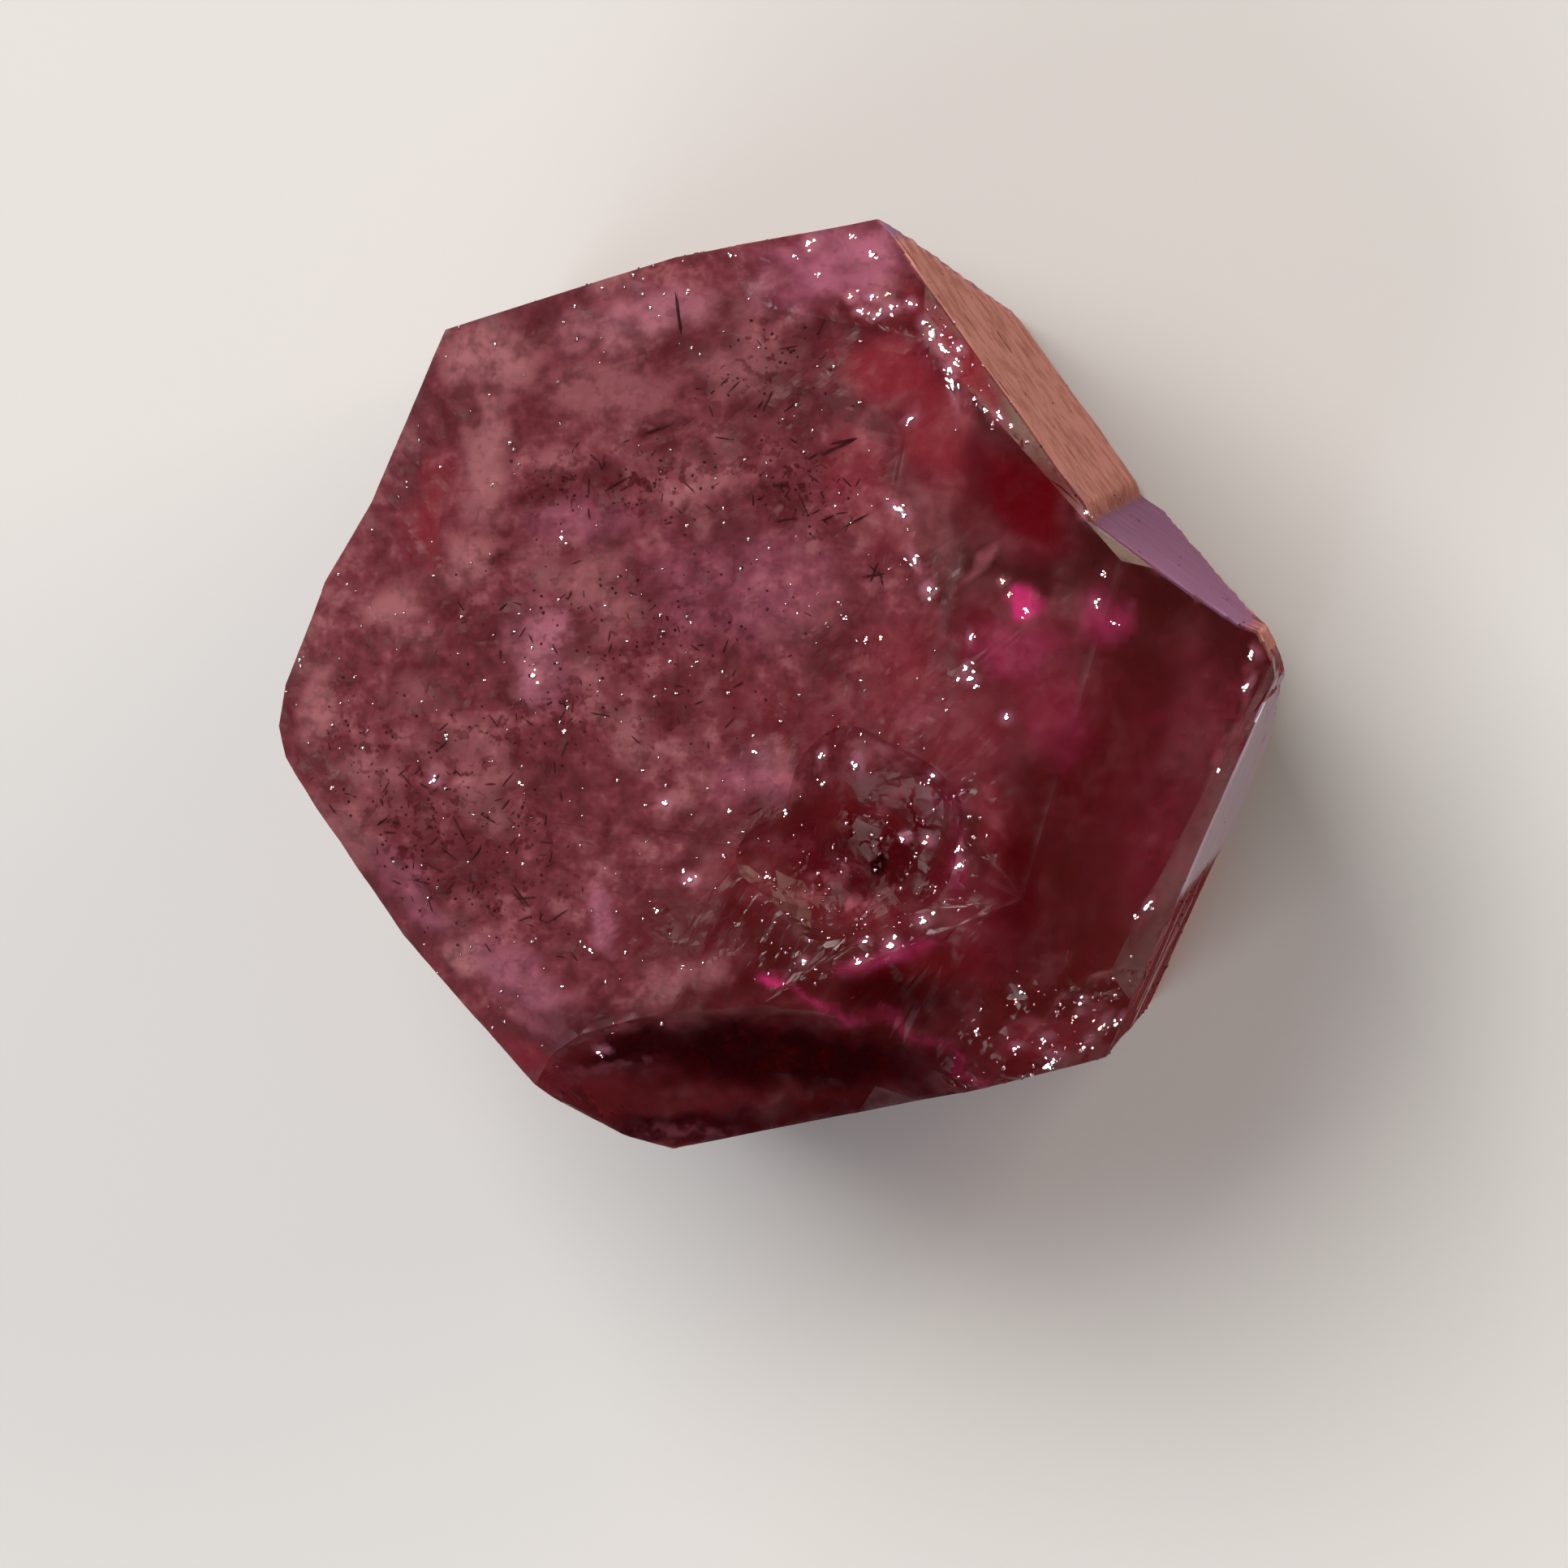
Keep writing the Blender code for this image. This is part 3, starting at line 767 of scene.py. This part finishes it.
def make_body_mesh(node):
    """Refined, roughened crystal mesh with its masks."""
    bm = bmesh.new()
    bm.from_mesh(node.data)
    bmesh.ops.remove_doubles(bm, verts=bm.verts[:], dist=MERGE_DISTANCE)
    ridges = ridge_points(bm)
    refine(bm)
    bm.normal_update()
    points = np.array([vert.co / MM for vert in bm.verts])
    top = np.array([any(face.normal.z > TOP_SLOPE for face in vert.link_faces) for vert in bm.verts])
    ridge_distance = np.array([ridges.find(Vector(point))[2] for point in points])
    masks = zone_masks(points, ridge_distance)
    for name in masks:
        if name not in ("ridge", "finish"):
            masks[name] = masks[name] * top
    roughen(bm, masks, top)
    finish_sides(points, masks, 1.0 - top)
    mesh = finished_mesh("crystal_body", bm)
    mesh.validate()
    store_masks(mesh, {name: masks[name] for name in SHADER_MASKS})
    masks["sparkly"] = np.maximum.reduce([masks[name] for name in SPARKLY_ZONES])
    return mesh, masks


def body_tree(mesh):
    """Search tree of the finished body for placing things on and in it."""
    bm = bmesh.new()
    bm.from_mesh(mesh)
    tree = BVHTree.FromBMesh(bm)
    bm.free()
    return tree


def make_crystal_material():
    """Clear red beryl: plain transmission and absorption, with worn and etched patches."""
    settings = {"Base_Color": CLEAR_COLOUR, "IOR": BERYL_IOR, "Transmission_Weight": 1.0}
    material, tree, shader = new_material("clear_red_beryl", **settings)
    cloudy = remap(tree, noise_at(tree, 2600.0, 1.0), 0.35, 0.70, -0.02, 0.06)
    rough = calc(tree, "ADD", attribute(tree, "finish"), cloudy, clamp=True)
    tree.links.new(rough, shader.inputs["Roughness"])

    absorb = add(tree, "ShaderNodeVolumeAbsorption", Color=ABSORB_COLOUR, Density=ABSORB_DENSITY)
    tree.links.new(absorb.outputs["Volume"], tree.nodes["Material Output"].inputs["Volume"])
    return material


# ---------------------------------------------------------------- the pale bloom, with painted shade and highlights


def make_skin_mesh(name, body_mesh, mask_names, lift):
    """Thin skin lifted off the parts of the body where a mask shows, save for its base."""
    bm = bmesh.new()
    bm.from_mesh(body_mesh)
    layers = [bm.verts.layers.float[mask] for mask in mask_names]
    bare = []
    for face in bm.faces:
        shown = max(vert[layer] for layer in layers for vert in face.verts)
        if shown < BLOOM_CUTOFF or face.normal.z < -TOP_SLOPE * 3:
            bare.append(face)
    lifts = [vert.normal * (lift * MM) for vert in bm.verts]
    for vert, offset in zip(bm.verts, lifts):
        vert.co += offset
    bmesh.ops.delete(bm, geom=bare, context="FACES")
    return finished_mesh(name, bm)


def broken_mask(tree, name, driver, low, high, to_low, to_high):
    """A named mask, made patchy by a noise that is stretched to a range."""
    return calc(tree, "MULTIPLY", attribute(tree, name), remap(tree, driver, low, high, to_low, to_high))


def make_bloom_and_painted_light_material():
    """Pale rose bloom of etched crystal: grainy, patchy, and thin where the face is clear; it also carries
    painted shade, painted highlights, painted glow round the chips and a painted lilac sheen.
    """
    material, tree, shader = new_material("rose_bloom", Roughness=0.50, Specular_IOR_Level=0.0)
    coarse = noise_at(tree, 1300.0, 2.0, 0.55)
    grain = noise_at(tree, 4200.0, 2.0, 0.6)
    mottled = calc(tree, "ADD", calc(tree, "MULTIPLY", coarse, 0.8), calc(tree, "MULTIPLY", grain, 0.9))
    mottled = calc(tree, "ADD", mottled, MOTTLE_BASE)

    shade = remap(tree, mottled, 0.82, 1.16, 0.62, 0.0)
    sunk = broken_mask(tree, "dark", grain, 0.30, 0.60, 0.45, 1.0)
    rose = blend_colours(tree, calc(tree, "MAXIMUM", shade, sunk, clamp=True), ROSE, BROWN_RED)
    milky = broken_mask(tree, "pale", mottled, 0.75, 1.15, 0.35, 1.0)
    milk = noise_at(tree, 850.0, 2.0, 0.65)
    flecks = remap(tree, mottled, 1.06, 1.34, 0.0, 0.5)
    flecks = calc(tree, "ADD", flecks, remap(tree, milk, 0.5, 0.7, 0.0, 0.5))
    rose = blend_colours(tree, calc(tree, "MAXIMUM", milky, flecks, clamp=True), rose, PALE_ROSE)
    # Painted sheen: lilac cast of the light on the pale bloom.
    lilac = broken_mask(tree, "lilac", coarse, 0.30, 0.65, 0.35, 0.95)
    rose = blend_colours(tree, lilac, rose, PAINTED_SHEEN_LILAC)
    # Painted highlights: magenta glints and the lower ridge line.
    painted_glint = broken_mask(tree, "painted_magenta_glint", grain, 0.30, 0.60, 0.4, 1.0)
    blots = remap(tree, noise_at(tree, 6200.0, 2.0, 0.62), 0.53, 0.64, 0.0, 0.90)
    crowd = calc(tree, "ADD", calc(tree, "MULTIPLY", attribute(tree, "needles"), 0.75), 0.25)
    crowd = calc(tree, "MULTIPLY", crowd, remap(tree, coarse, 0.36, 0.56, 0.45, 1.0))
    rose = blend_colours(tree, calc(tree, "MULTIPLY", blots, crowd), rose, BROWN_RED)
    rosy = broken_mask(tree, "rosy", mottled, 0.70, 1.25, 1.0, 0.55)
    rose = blend_colours(tree, rosy, rose, ROSY_RED)
    # Painted shade: near-black red where clear parts of the face look dark.
    rose = blend_colours(tree, attribute(tree, "deep"), rose, DEEP_SHADE_RED)
    rose = blend_colours(tree, attribute(tree, "shadow"), rose, SHADOW_RED)
    # Pale chips and painted highlights on edges and corners.
    streaks = broken_mask(tree, "flecks_and_painted_highlights", grain, 0.36, 0.58, 0.1, 1.0)
    rose = blend_colours(tree, streaks, rose, FLECK_AND_HIGHLIGHT_PINK)
    # Painted pink glow round the bright chips.
    rose = blend_colours(tree, attribute(tree, "painted_glint_halo"), rose, PAINTED_HALO_PINK)
    tree.links.new(blend_colours(tree, painted_glint, rose, PAINTED_MAGENTA_GLINT), shader.inputs["Base Color"])

    cloth = broken_mask(tree, "bloom", mottled, 0.70, 1.20, 0.78, 1.06)
    worn = broken_mask(tree, "ridge", grain, 0.40, 0.65, 0.0, 0.45)
    alpha = calc(tree, "MINIMUM", calc(tree, "MAXIMUM", cloth, worn), MOST_BLOOM, clamp=True)
    tree.links.new(alpha, shader.inputs["Alpha"])
    return material


def make_ledge_and_reflection_material():
    """Growth ledges, rose on most prism faces; on three faces tan, lilac and white, painted reflections of
    the surroundings.
    """
    material, tree, shader = new_material("growth_ledges", Roughness=0.55, Specular_IOR_Level=0.20)
    grain = noise_at(tree, 2500.0, 3.0, 0.6)
    # Painted tan reflection, lighter and darker by grain.
    warm = blend_colours(tree, remap(tree, grain, 0.35, 0.60), REFLECTED_TAN_DARK, REFLECTED_TAN_LIGHT)
    colour = blend_colours(tree, attribute(tree, "tan"), LEDGE_ROSE, warm)
    colour = blend_colours(tree, attribute(tree, "pale_side"), colour, REFLECTED_LILAC)
    colour = blend_colours(tree, attribute(tree, "strip"), colour, REFLECTED_WHITE)
    tree.links.new(colour, shader.inputs["Base Color"])
    return material


def make_growth_ledges(surface):
    """Hair-thin level ledges round the prism faces, close and wide on the three faces that carry painted
    reflections.
    """
    bm = bmesh.new()
    layers = {name: bm.verts.layers.float.new(name) for name in ("tan", "pale_side", "strip")}
    turns = np.arange(LEDGE_TURNS) * (2.0 * math.pi / LEDGE_TURNS)
    height = LEDGE_LOWEST
    while height < LEDGE_HIGHEST:
        run = []
        for turn in turns:
            section = ledge_section(surface, turn, height)
            if section is None:
                sweep_ledge(bm, layers, run)
                run = []
            else:
                run.append(section)
        sweep_ledge(bm, layers, run)
        height += LEDGE_STEP * (1.0 + 0.9 * noise.noise(Vector((height * 7.3, 0.5, 9.1))))
    bmesh.ops.recalc_face_normals(bm, faces=bm.faces[:])
    mesh = finished_mesh("growth_ledges", bm)
    return place_piece("growth_ledges", mesh, make_ledge_and_reflection_material())


def sweep_ledge(bm, layers, run):
    """Join a run of sections into one closed ledge; a run too short to see is left out."""
    if len(run) < 3:
        return
    rings = []
    for corners, tint in run:
        rings.append([bm.verts.new(corner) for corner in corners])
        for vert in rings[-1]:
            for name, layer in layers.items():
                vert[layer] = tint[name]
    for ring, following in zip(rings, rings[1:]):
        bridge(bm, ring, following)
    bm.faces.new(rings[0][::-1])
    bm.faces.new(rings[-1])


def ledge_section(surface, turn, height):
    """Corners and tints of a ledge's section at a bearing, or None where there is no ledge."""
    inward = Vector((-math.cos(turn), -math.sin(turn), 0.0))
    start = Vector((0.0, 0.0, height * MM)) - inward * LEDGE_START_RADIUS * MM
    place, normal, _, _ = surface.ray_cast(start, inward)
    if place is None or normal.z > TOP_SLOPE or normal.z < -TOP_SLOPE:
        return None
    out = Vector((normal.x, normal.y, 0.0)).normalized()
    facing = np.array([out[:]])
    # How strongly each painted reflection, tan, lilac or white, tints this ledge.
    tint = {
        "tan": facing_zone(facing, TAN_REFLECTION_BEARING, REFLECTION_SPREAD)[0],
        "pale_side": facing_zone(facing, LILAC_REFLECTION_BEARING, REFLECTION_SPREAD)[0],
        "strip": facing_zone(facing, WHITE_REFLECTION_BEARING, REFLECTION_SPREAD)[0],
    }
    tint["strip"] *= smooth_step(np.array([place.y / MM]), *WHITE_REFLECTION_SPAN)[0]
    strength = max(tint.values())
    spot = place / MM
    patch = noise.noise(Vector((spot.x * 0.8, spot.y * 0.8, spot.z * 4.0)) + LEDGE_NOISE_PLACE)
    ragged = noise.noise(Vector((spot.x * 1.6, spot.y * 1.6, spot.z * 11.0)) + RAGGED_NOISE_PLACE)
    if (strength < 0.5 and patch < LEDGE_GAP) or ragged < LEDGE_BREAK:
        return None
    width = LEDGE_WIDE if strength >= 0.5 else LEDGE_NARROW
    reach = out * width * max(0.2, 1.0 + 0.4 * patch + 1.1 * ragged) * MM
    depth = out * LEDGE_ROOT * MM
    half = Vector((0.0, 0.0, LEDGE_THICKNESS / 2 * MM))
    corners = [place + offset for offset in (-depth - half, reach - half, reach + half, half - depth)]
    return corners, tint


# ---------------------------------------------------------------- sealed veils


def make_veil(name, surface, settings):
    """A wavy sheet sealed under the growth end, shown where its patches lie."""
    patches, depth, wave, colour, cover, grain = settings
    count = int(2 * VEIL_REACH / VEIL_STEP)
    places = []
    for row in range(count):
        for column in range(count):
            x = column * VEIL_STEP - VEIL_REACH
            y = row * VEIL_STEP - VEIL_REACH
            places.append((x, y, 0.0))
    places = np.array(places)
    shift = depth * 7.0
    density = clouds(places[:, :2], PATCHES[patches])
    ripple = wave * sample_noise(places, 1.10, shift, 3)

    bm = bmesh.new()
    layer = bm.verts.layers.float.new("veil")
    corners = {}
    for index, (x, y, _) in enumerate(places):
        if density[index] < BLOOM_CUTOFF:
            continue
        hit = surface.ray_cast(Vector((x, y, VEIL_TOP)) * MM, Vector((0.0, 0.0, -1.0)))[0]
        if hit is None:
            continue
        spot = hit + Vector((0.0, 0.0, (ripple[index] - depth) * MM))
        near, normal, _, gap = surface.find_nearest(spot)
        if gap < VEIL_MARGIN * MM * depth or (spot - near).dot(normal) > 0.0:
            continue
        vert = bm.verts.new(spot)
        vert[layer] = density[index]
        corners[divmod(index, count)] = vert
    for (row, column), vert in corners.items():
        ring = [vert] + [
            corners.get(place) for place in ((row, column + 1), (row + 1, column + 1), (row + 1, column))
        ]
        if None not in ring:
            bm.faces.new(ring)
    loose = [vert for vert in bm.verts if not vert.link_faces]
    bmesh.ops.delete(bm, geom=loose, context="VERTS")
    mesh = finished_mesh(name, bm)
    return place_piece(name, mesh, make_veil_material(name, colour, cover, grain))


def make_veil_material(name, colour, cover, grain):
    """Milky sheet broken into wisps; cover is how much it hides and grain its fineness."""
    settings = {"Base_Color": (*colour, 1.0), "Roughness": 0.60, "Specular_IOR_Level": 0.0}
    material, tree, shader = new_material(name, **settings)
    wisps = remap(tree, noise_at(tree, grain, 2.0, 0.6), 0.34, 0.66, 0.15, 1.0)
    alpha = calc(tree, "MULTIPLY", attribute(tree, "veil"), wisps)
    tree.links.new(calc(tree, "MULTIPLY", alpha, cover, clamp=True), shader.inputs["Alpha"])
    return material


# ---------------------------------------------------------------- needles, specks and glints


def grain_mesh(name, sides, radius, half_length, taper):
    """A small closed spindle along X: a needle, a speck or a flake, by its proportions."""
    bm = bmesh.new()
    rings = []
    for place in (-SPINDLE_WAIST, SPINDLE_WAIST):
        ring = []
        for k in range(sides):
            turn = 2.0 * math.pi * k / sides
            across = (math.cos(turn) * radius, math.sin(turn) * radius)
            ring.append(bm.verts.new((place * half_length, *across)))
        rings.append(ring)
    tips = [bm.verts.new((side * half_length * taper, 0.0, 0.0)) for side in (-1.0, 1.0)]
    bridge(bm, *rings)
    for k in range(sides):
        after = (k + 1) % sides
        bm.faces.new((tips[0], rings[0][after], rings[0][k]))
        bm.faces.new((tips[1], rings[1][k], rings[1][after]))
    bmesh.ops.recalc_face_normals(bm, faces=bm.faces[:])
    return finished_mesh(name, bm)


def flake_mesh(name, corners, thickness, crown):
    """A thin closed plate with a few corners, lying level; crown is how wide its flat top is."""
    bm = bmesh.new()
    rings = []
    for height, reach in ((-thickness, 1.0), (thickness, crown)):
        ring = []
        for k in range(corners):
            turn = 2.0 * math.pi * (k + 0.18 * math.sin(5.0 * k)) / corners
            width = reach * (1.0 + 0.22 * math.sin(3.0 * k + 1.0))
            ring.append(bm.verts.new((width * math.cos(turn), width * math.sin(turn), height)))
        rings.append(ring)
    bm.faces.new(rings[0])
    bm.faces.new(rings[1])
    bridge(bm, *rings)
    bmesh.ops.recalc_face_normals(bm, faces=bm.faces[:])
    return finished_mesh(name, bm)


def scatter_tree():
    """Geometry nodes: strew a shape over a surface, thickly where a mask is strong."""
    tree = bpy.data.node_groups.new("strew_over_surface", "GeometryNodeTree")
    face = tree.interface
    face.new_socket("Geometry", in_out="INPUT", socket_type="NodeSocketGeometry")
    for name in ("Count per Area", "Smallest", "Largest", "Tilt", "Lift"):
        face.new_socket(name, in_out="INPUT", socket_type="NodeSocketFloat")
    face.new_socket("Seed", in_out="INPUT", socket_type="NodeSocketInt")
    face.new_socket("Shape", in_out="INPUT", socket_type="NodeSocketObject")
    face.new_socket("Material", in_out="INPUT", socket_type="NodeSocketMaterial")
    face.new_socket("Geometry", in_out="OUTPUT", socket_type="NodeSocketGeometry")
    source = tree.nodes.new("NodeGroupInput").outputs
    result = tree.nodes.new("NodeGroupOutput").inputs
    link = tree.links.new

    mask = add(tree, "GeometryNodeInputNamedAttribute", data_type="FLOAT", Name="strew")
    spread = add(tree, "GeometryNodeDistributePointsOnFaces", distribute_method="RANDOM")
    link(source["Geometry"], spread.inputs["Mesh"])
    density = calc(tree, "MULTIPLY", mask.outputs["Attribute"], source["Count per Area"])
    link(density, spread.inputs["Density"])
    link(source["Seed"], spread.inputs["Seed"])

    raised = add(tree, "ShaderNodeVectorMath", operation="SCALE")
    link(spread.outputs["Normal"], raised.inputs[0])
    link(source["Lift"], raised.inputs["Scale"])
    lifted = add(tree, "GeometryNodeSetPosition")
    link(spread.outputs["Points"], lifted.inputs["Geometry"])
    link(raised.outputs["Vector"], lifted.inputs["Offset"])

    low_turn = add(tree, "ShaderNodeCombineXYZ")
    high_turn = add(tree, "ShaderNodeCombineXYZ", Z=2.0 * math.pi)
    for axis in ("X", "Y"):
        link(calc(tree, "MULTIPLY", source["Tilt"], -1.0), low_turn.inputs[axis])
        link(source["Tilt"], high_turn.inputs[axis])
    turn = add(tree, "FunctionNodeRandomValue", data_type="FLOAT_VECTOR")
    link(low_turn.outputs["Vector"], turn.inputs["Min"])
    link(high_turn.outputs["Vector"], turn.inputs["Max"])
    link(source["Seed"], turn.inputs["Seed"])
    spin = add(tree, "FunctionNodeEulerToRotation")
    link(turn.outputs["Value"], spin.inputs["Euler"])
    rotate = add(tree, "FunctionNodeRotateRotation", rotation_space="LOCAL")
    link(spread.outputs["Rotation"], rotate.inputs["Rotation"])
    link(spin.outputs["Rotation"], rotate.inputs["Rotate By"])

    size = add(tree, "FunctionNodeRandomValue", data_type="FLOAT")
    scalar = [socket for socket in size.inputs if socket.type == "VALUE" and socket.enabled]
    link(source["Smallest"], scalar[0])
    link(source["Largest"], scalar[1])
    link(calc(tree, "ADD", source["Seed"], 7.0), size.inputs["Seed"])
    value = next(socket for socket in size.outputs if socket.type == "VALUE" and socket.enabled)

    shape = add(tree, "GeometryNodeObjectInfo")
    link(source["Shape"], shape.inputs["Object"])
    strew = add(tree, "GeometryNodeInstanceOnPoints")
    link(lifted.outputs["Geometry"], strew.inputs["Points"])
    link(shape.outputs["Geometry"], strew.inputs["Instance"])
    link(rotate.outputs["Rotation"], strew.inputs["Rotation"])
    link(value, strew.inputs["Scale"])
    solid = add(tree, "GeometryNodeRealizeInstances")
    link(strew.outputs["Instances"], solid.inputs["Geometry"])
    paint = add(tree, "GeometryNodeSetMaterial")
    link(solid.outputs["Geometry"], paint.inputs["Geometry"])
    link(source["Material"], paint.inputs["Material"])
    link(paint.outputs["Geometry"], result["Geometry"])
    return tree


def strew(name, tree, body_mesh, masks, shape_mesh, material):
    """Scatter one kind of grain over the growth end and keep it as a plain mesh."""
    mask, count, smallest, largest, tilt, lift, seed = SCATTERS[name]
    surface = body_mesh.copy()
    store_masks(surface, {"strew": masks[mask]})
    holder = bpy.data.objects.new(name + "_holder", surface)
    shape = bpy.data.objects.new(name + "_shape", shape_mesh)
    for temporary in (holder, shape):
        bpy.context.scene.collection.objects.link(temporary)
    modifier = holder.modifiers.new("strew", "NODES")
    modifier.node_group = tree
    settings = {
        "Count per Area": count / MM ** 2,
        "Smallest": smallest * MM,
        "Largest": largest * MM,
        "Tilt": tilt,
        "Lift": lift * MM,
        "Seed": seed,
        "Shape": shape,
        "Material": material,
    }
    for socket in tree.interface.items_tree:
        if socket.in_out == "INPUT" and socket.name in settings:
            modifier[socket.identifier] = settings[socket.name]
    depsgraph = bpy.context.evaluated_depsgraph_get()
    mesh = bpy.data.meshes.new_from_object(holder.evaluated_get(depsgraph))
    mesh.name = name
    for layer in [layer.name for layer in mesh.attributes if not layer.is_required]:
        if layer in mesh.attributes and not layer.startswith("."):
            mesh.attributes.remove(mesh.attributes[layer])
    holder.modifiers.clear()
    for temporary in (holder, shape):
        bpy.data.objects.remove(temporary, do_unlink=True)
    return place_piece(name, mesh, material)


def surface_spot(surface, column, row):
    """Place and normal, in metres, where a line of sight meets the crystal."""
    eye, aim = sight_line(column, row)
    place, normal, _, _ = surface.ray_cast(eye * MM, aim)
    return place, normal


def make_long_needles(surface, material):
    """The few needles that are long enough to stand out one by one."""
    bm = bmesh.new()
    shape = grain_mesh("long_needle_shape", 5, 0.075, 1.0, 1.25)
    up = Vector((0.0, 0.0, 1.0))
    for column, row, length, lay in LONG_NEEDLES:
        place, normal = surface_spot(surface, column, row)
        turn = Matrix.Rotation(math.radians(lay), 4, "Z")
        lean = up.rotation_difference(normal).to_matrix().to_4x4()
        size = Matrix.Scale(length / 2 / PIXELS_PER_MM * MM, 4)
        matrix = Matrix.Translation(place + normal * NEEDLE_LIFT * MM) @ lean @ turn @ size
        add_copy(bm, shape, matrix)
    mesh = finished_mesh("long_needles", bm)
    return place_piece("long_needles", mesh, material)


def add_copy(bm, shape, matrix):
    """Add one copy of a mesh, moved by a matrix."""
    first = len(bm.verts)
    bm.from_mesh(shape)
    bm.verts.ensure_lookup_table()
    bmesh.ops.transform(bm, matrix=matrix, verts=bm.verts[first:])


def make_bright_chips(surface, tint, name):
    """Small mirror-bright chips of one tint, each tipped to send the key light up."""
    bm = bmesh.new()
    shape = flake_mesh("chip_shape", CHIP_CORNERS, 0.35, 0.60)
    up = Vector((0.0, 0.0, 1.0))
    towards = view_axes()[2]
    bearing, elevation = SOFTBOXES["key_softbox"][:2]
    facing = (towards + direction(bearing, elevation)).normalized()
    lean = up.rotation_difference(facing).to_matrix().to_4x4()
    dice = np.random.default_rng(CHIP_SEED)
    for column, row, size, stretch, lay in CHIPS[tint]:
        for scale in CHIP_CLUSTER:
            satellite = scale < 1.0
            shift = dice.normal(0.0, CHIP_SCATTER, 2) * size * satellite
            place, normal = surface_spot(surface, column + shift[0], row + shift[1])
            if place is None:
                continue
            spin = lay + dice.uniform(-CHIP_SPIN, CHIP_SPIN) * satellite
            turn = Matrix.Rotation(math.radians(spin), 4, "Z")
            radius = CHIP_SCALE * scale * size / PIXELS_PER_MM * MM
            grow = Matrix.Diagonal((radius * stretch, radius / math.sqrt(stretch), radius * 0.5, 1.0))
            add_copy(bm, shape, Matrix.Translation(place + normal * CHIP_LIFT * MM) @ lean @ turn @ grow)
    mesh = finished_mesh(name, bm)
    return place_piece(name, mesh, make_glint_material(name, tint))


def make_glint_material(name, tint):
    """Mirror-bright cleavage chip."""
    material, tree, shader = new_material(name, Metallic=1.0, Roughness=0.12)
    shade = remap(tree, noise_at(tree, 9000.0, 2.0), 0.3, 0.6)
    colour = blend_colours(tree, shade, tuple(0.75 * part for part in tint), tint)
    tree.links.new(colour, shader.inputs["Base Color"])
    return material


def make_dark_material():
    """Dark red-brown needles and specks."""
    settings = {"Alpha": 0.72, "Roughness": 0.60, "Specular_IOR_Level": 0.10}
    material, tree, shader = new_material("dark_inclusions", **settings)
    shade = remap(tree, noise_at(tree, 5000.0, 2.0), 0.35, 0.65)
    colour = blend_colours(tree, shade, DARK_BROWN, WARM_BROWN)
    tree.links.new(colour, shader.inputs["Base Color"])
    return material


# ---------------------------------------------------------------- run

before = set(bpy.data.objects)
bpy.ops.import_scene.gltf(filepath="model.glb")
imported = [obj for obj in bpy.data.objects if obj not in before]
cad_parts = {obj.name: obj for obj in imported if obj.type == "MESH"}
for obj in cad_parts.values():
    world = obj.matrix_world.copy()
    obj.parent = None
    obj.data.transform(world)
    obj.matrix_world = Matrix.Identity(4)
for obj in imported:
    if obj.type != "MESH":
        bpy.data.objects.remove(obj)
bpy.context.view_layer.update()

make_camera()
make_lights()
make_floor()
body_mesh, masks = make_body_mesh(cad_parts[CRYSTAL_NODE])
surface = body_tree(body_mesh)
crystal = place_piece("crystal_body", body_mesh, make_crystal_material())
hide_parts(CRYSTAL_NODE)
bloom_mesh = make_skin_mesh("rose_bloom", body_mesh, ("bloom", "ridge"), BLOOM_LIFT)
bloom = place_piece("rose_bloom", bloom_mesh, make_bloom_and_painted_light_material())
bloom.visible_shadow = False  # it lies on the body, which already casts this shadow
make_growth_ledges(surface)
for name, settings in VEILS.items():
    make_veil(name, surface, settings)

dark = make_dark_material()
strewn = scatter_tree()
needle = grain_mesh("needle_shape", 5, 0.065, 0.5, 1.25)
speck = grain_mesh("speck_shape", 5, 0.42, 0.5, 1.15)
flake = flake_mesh("flake_shape", CHIP_CORNERS, 0.10, 0.90)
for name, grain, material in (
    ("dark_needles", needle, dark),
    ("dark_specks", speck, dark),
    ("face_sparkles", flake, make_glint_material("face_sparkle", WHITE)),
    ("ridge_sparkles", flake, make_glint_material("ridge_sparkle", PINK)),
):
    strew(name, strewn, body_mesh, masks, grain, material)
make_long_needles(surface, dark)
for name, tint in zip(("white_chips", "pink_chips", "orange_chips", "bluish_chips"), CHIPS):
    make_bright_chips(surface, tint, name)
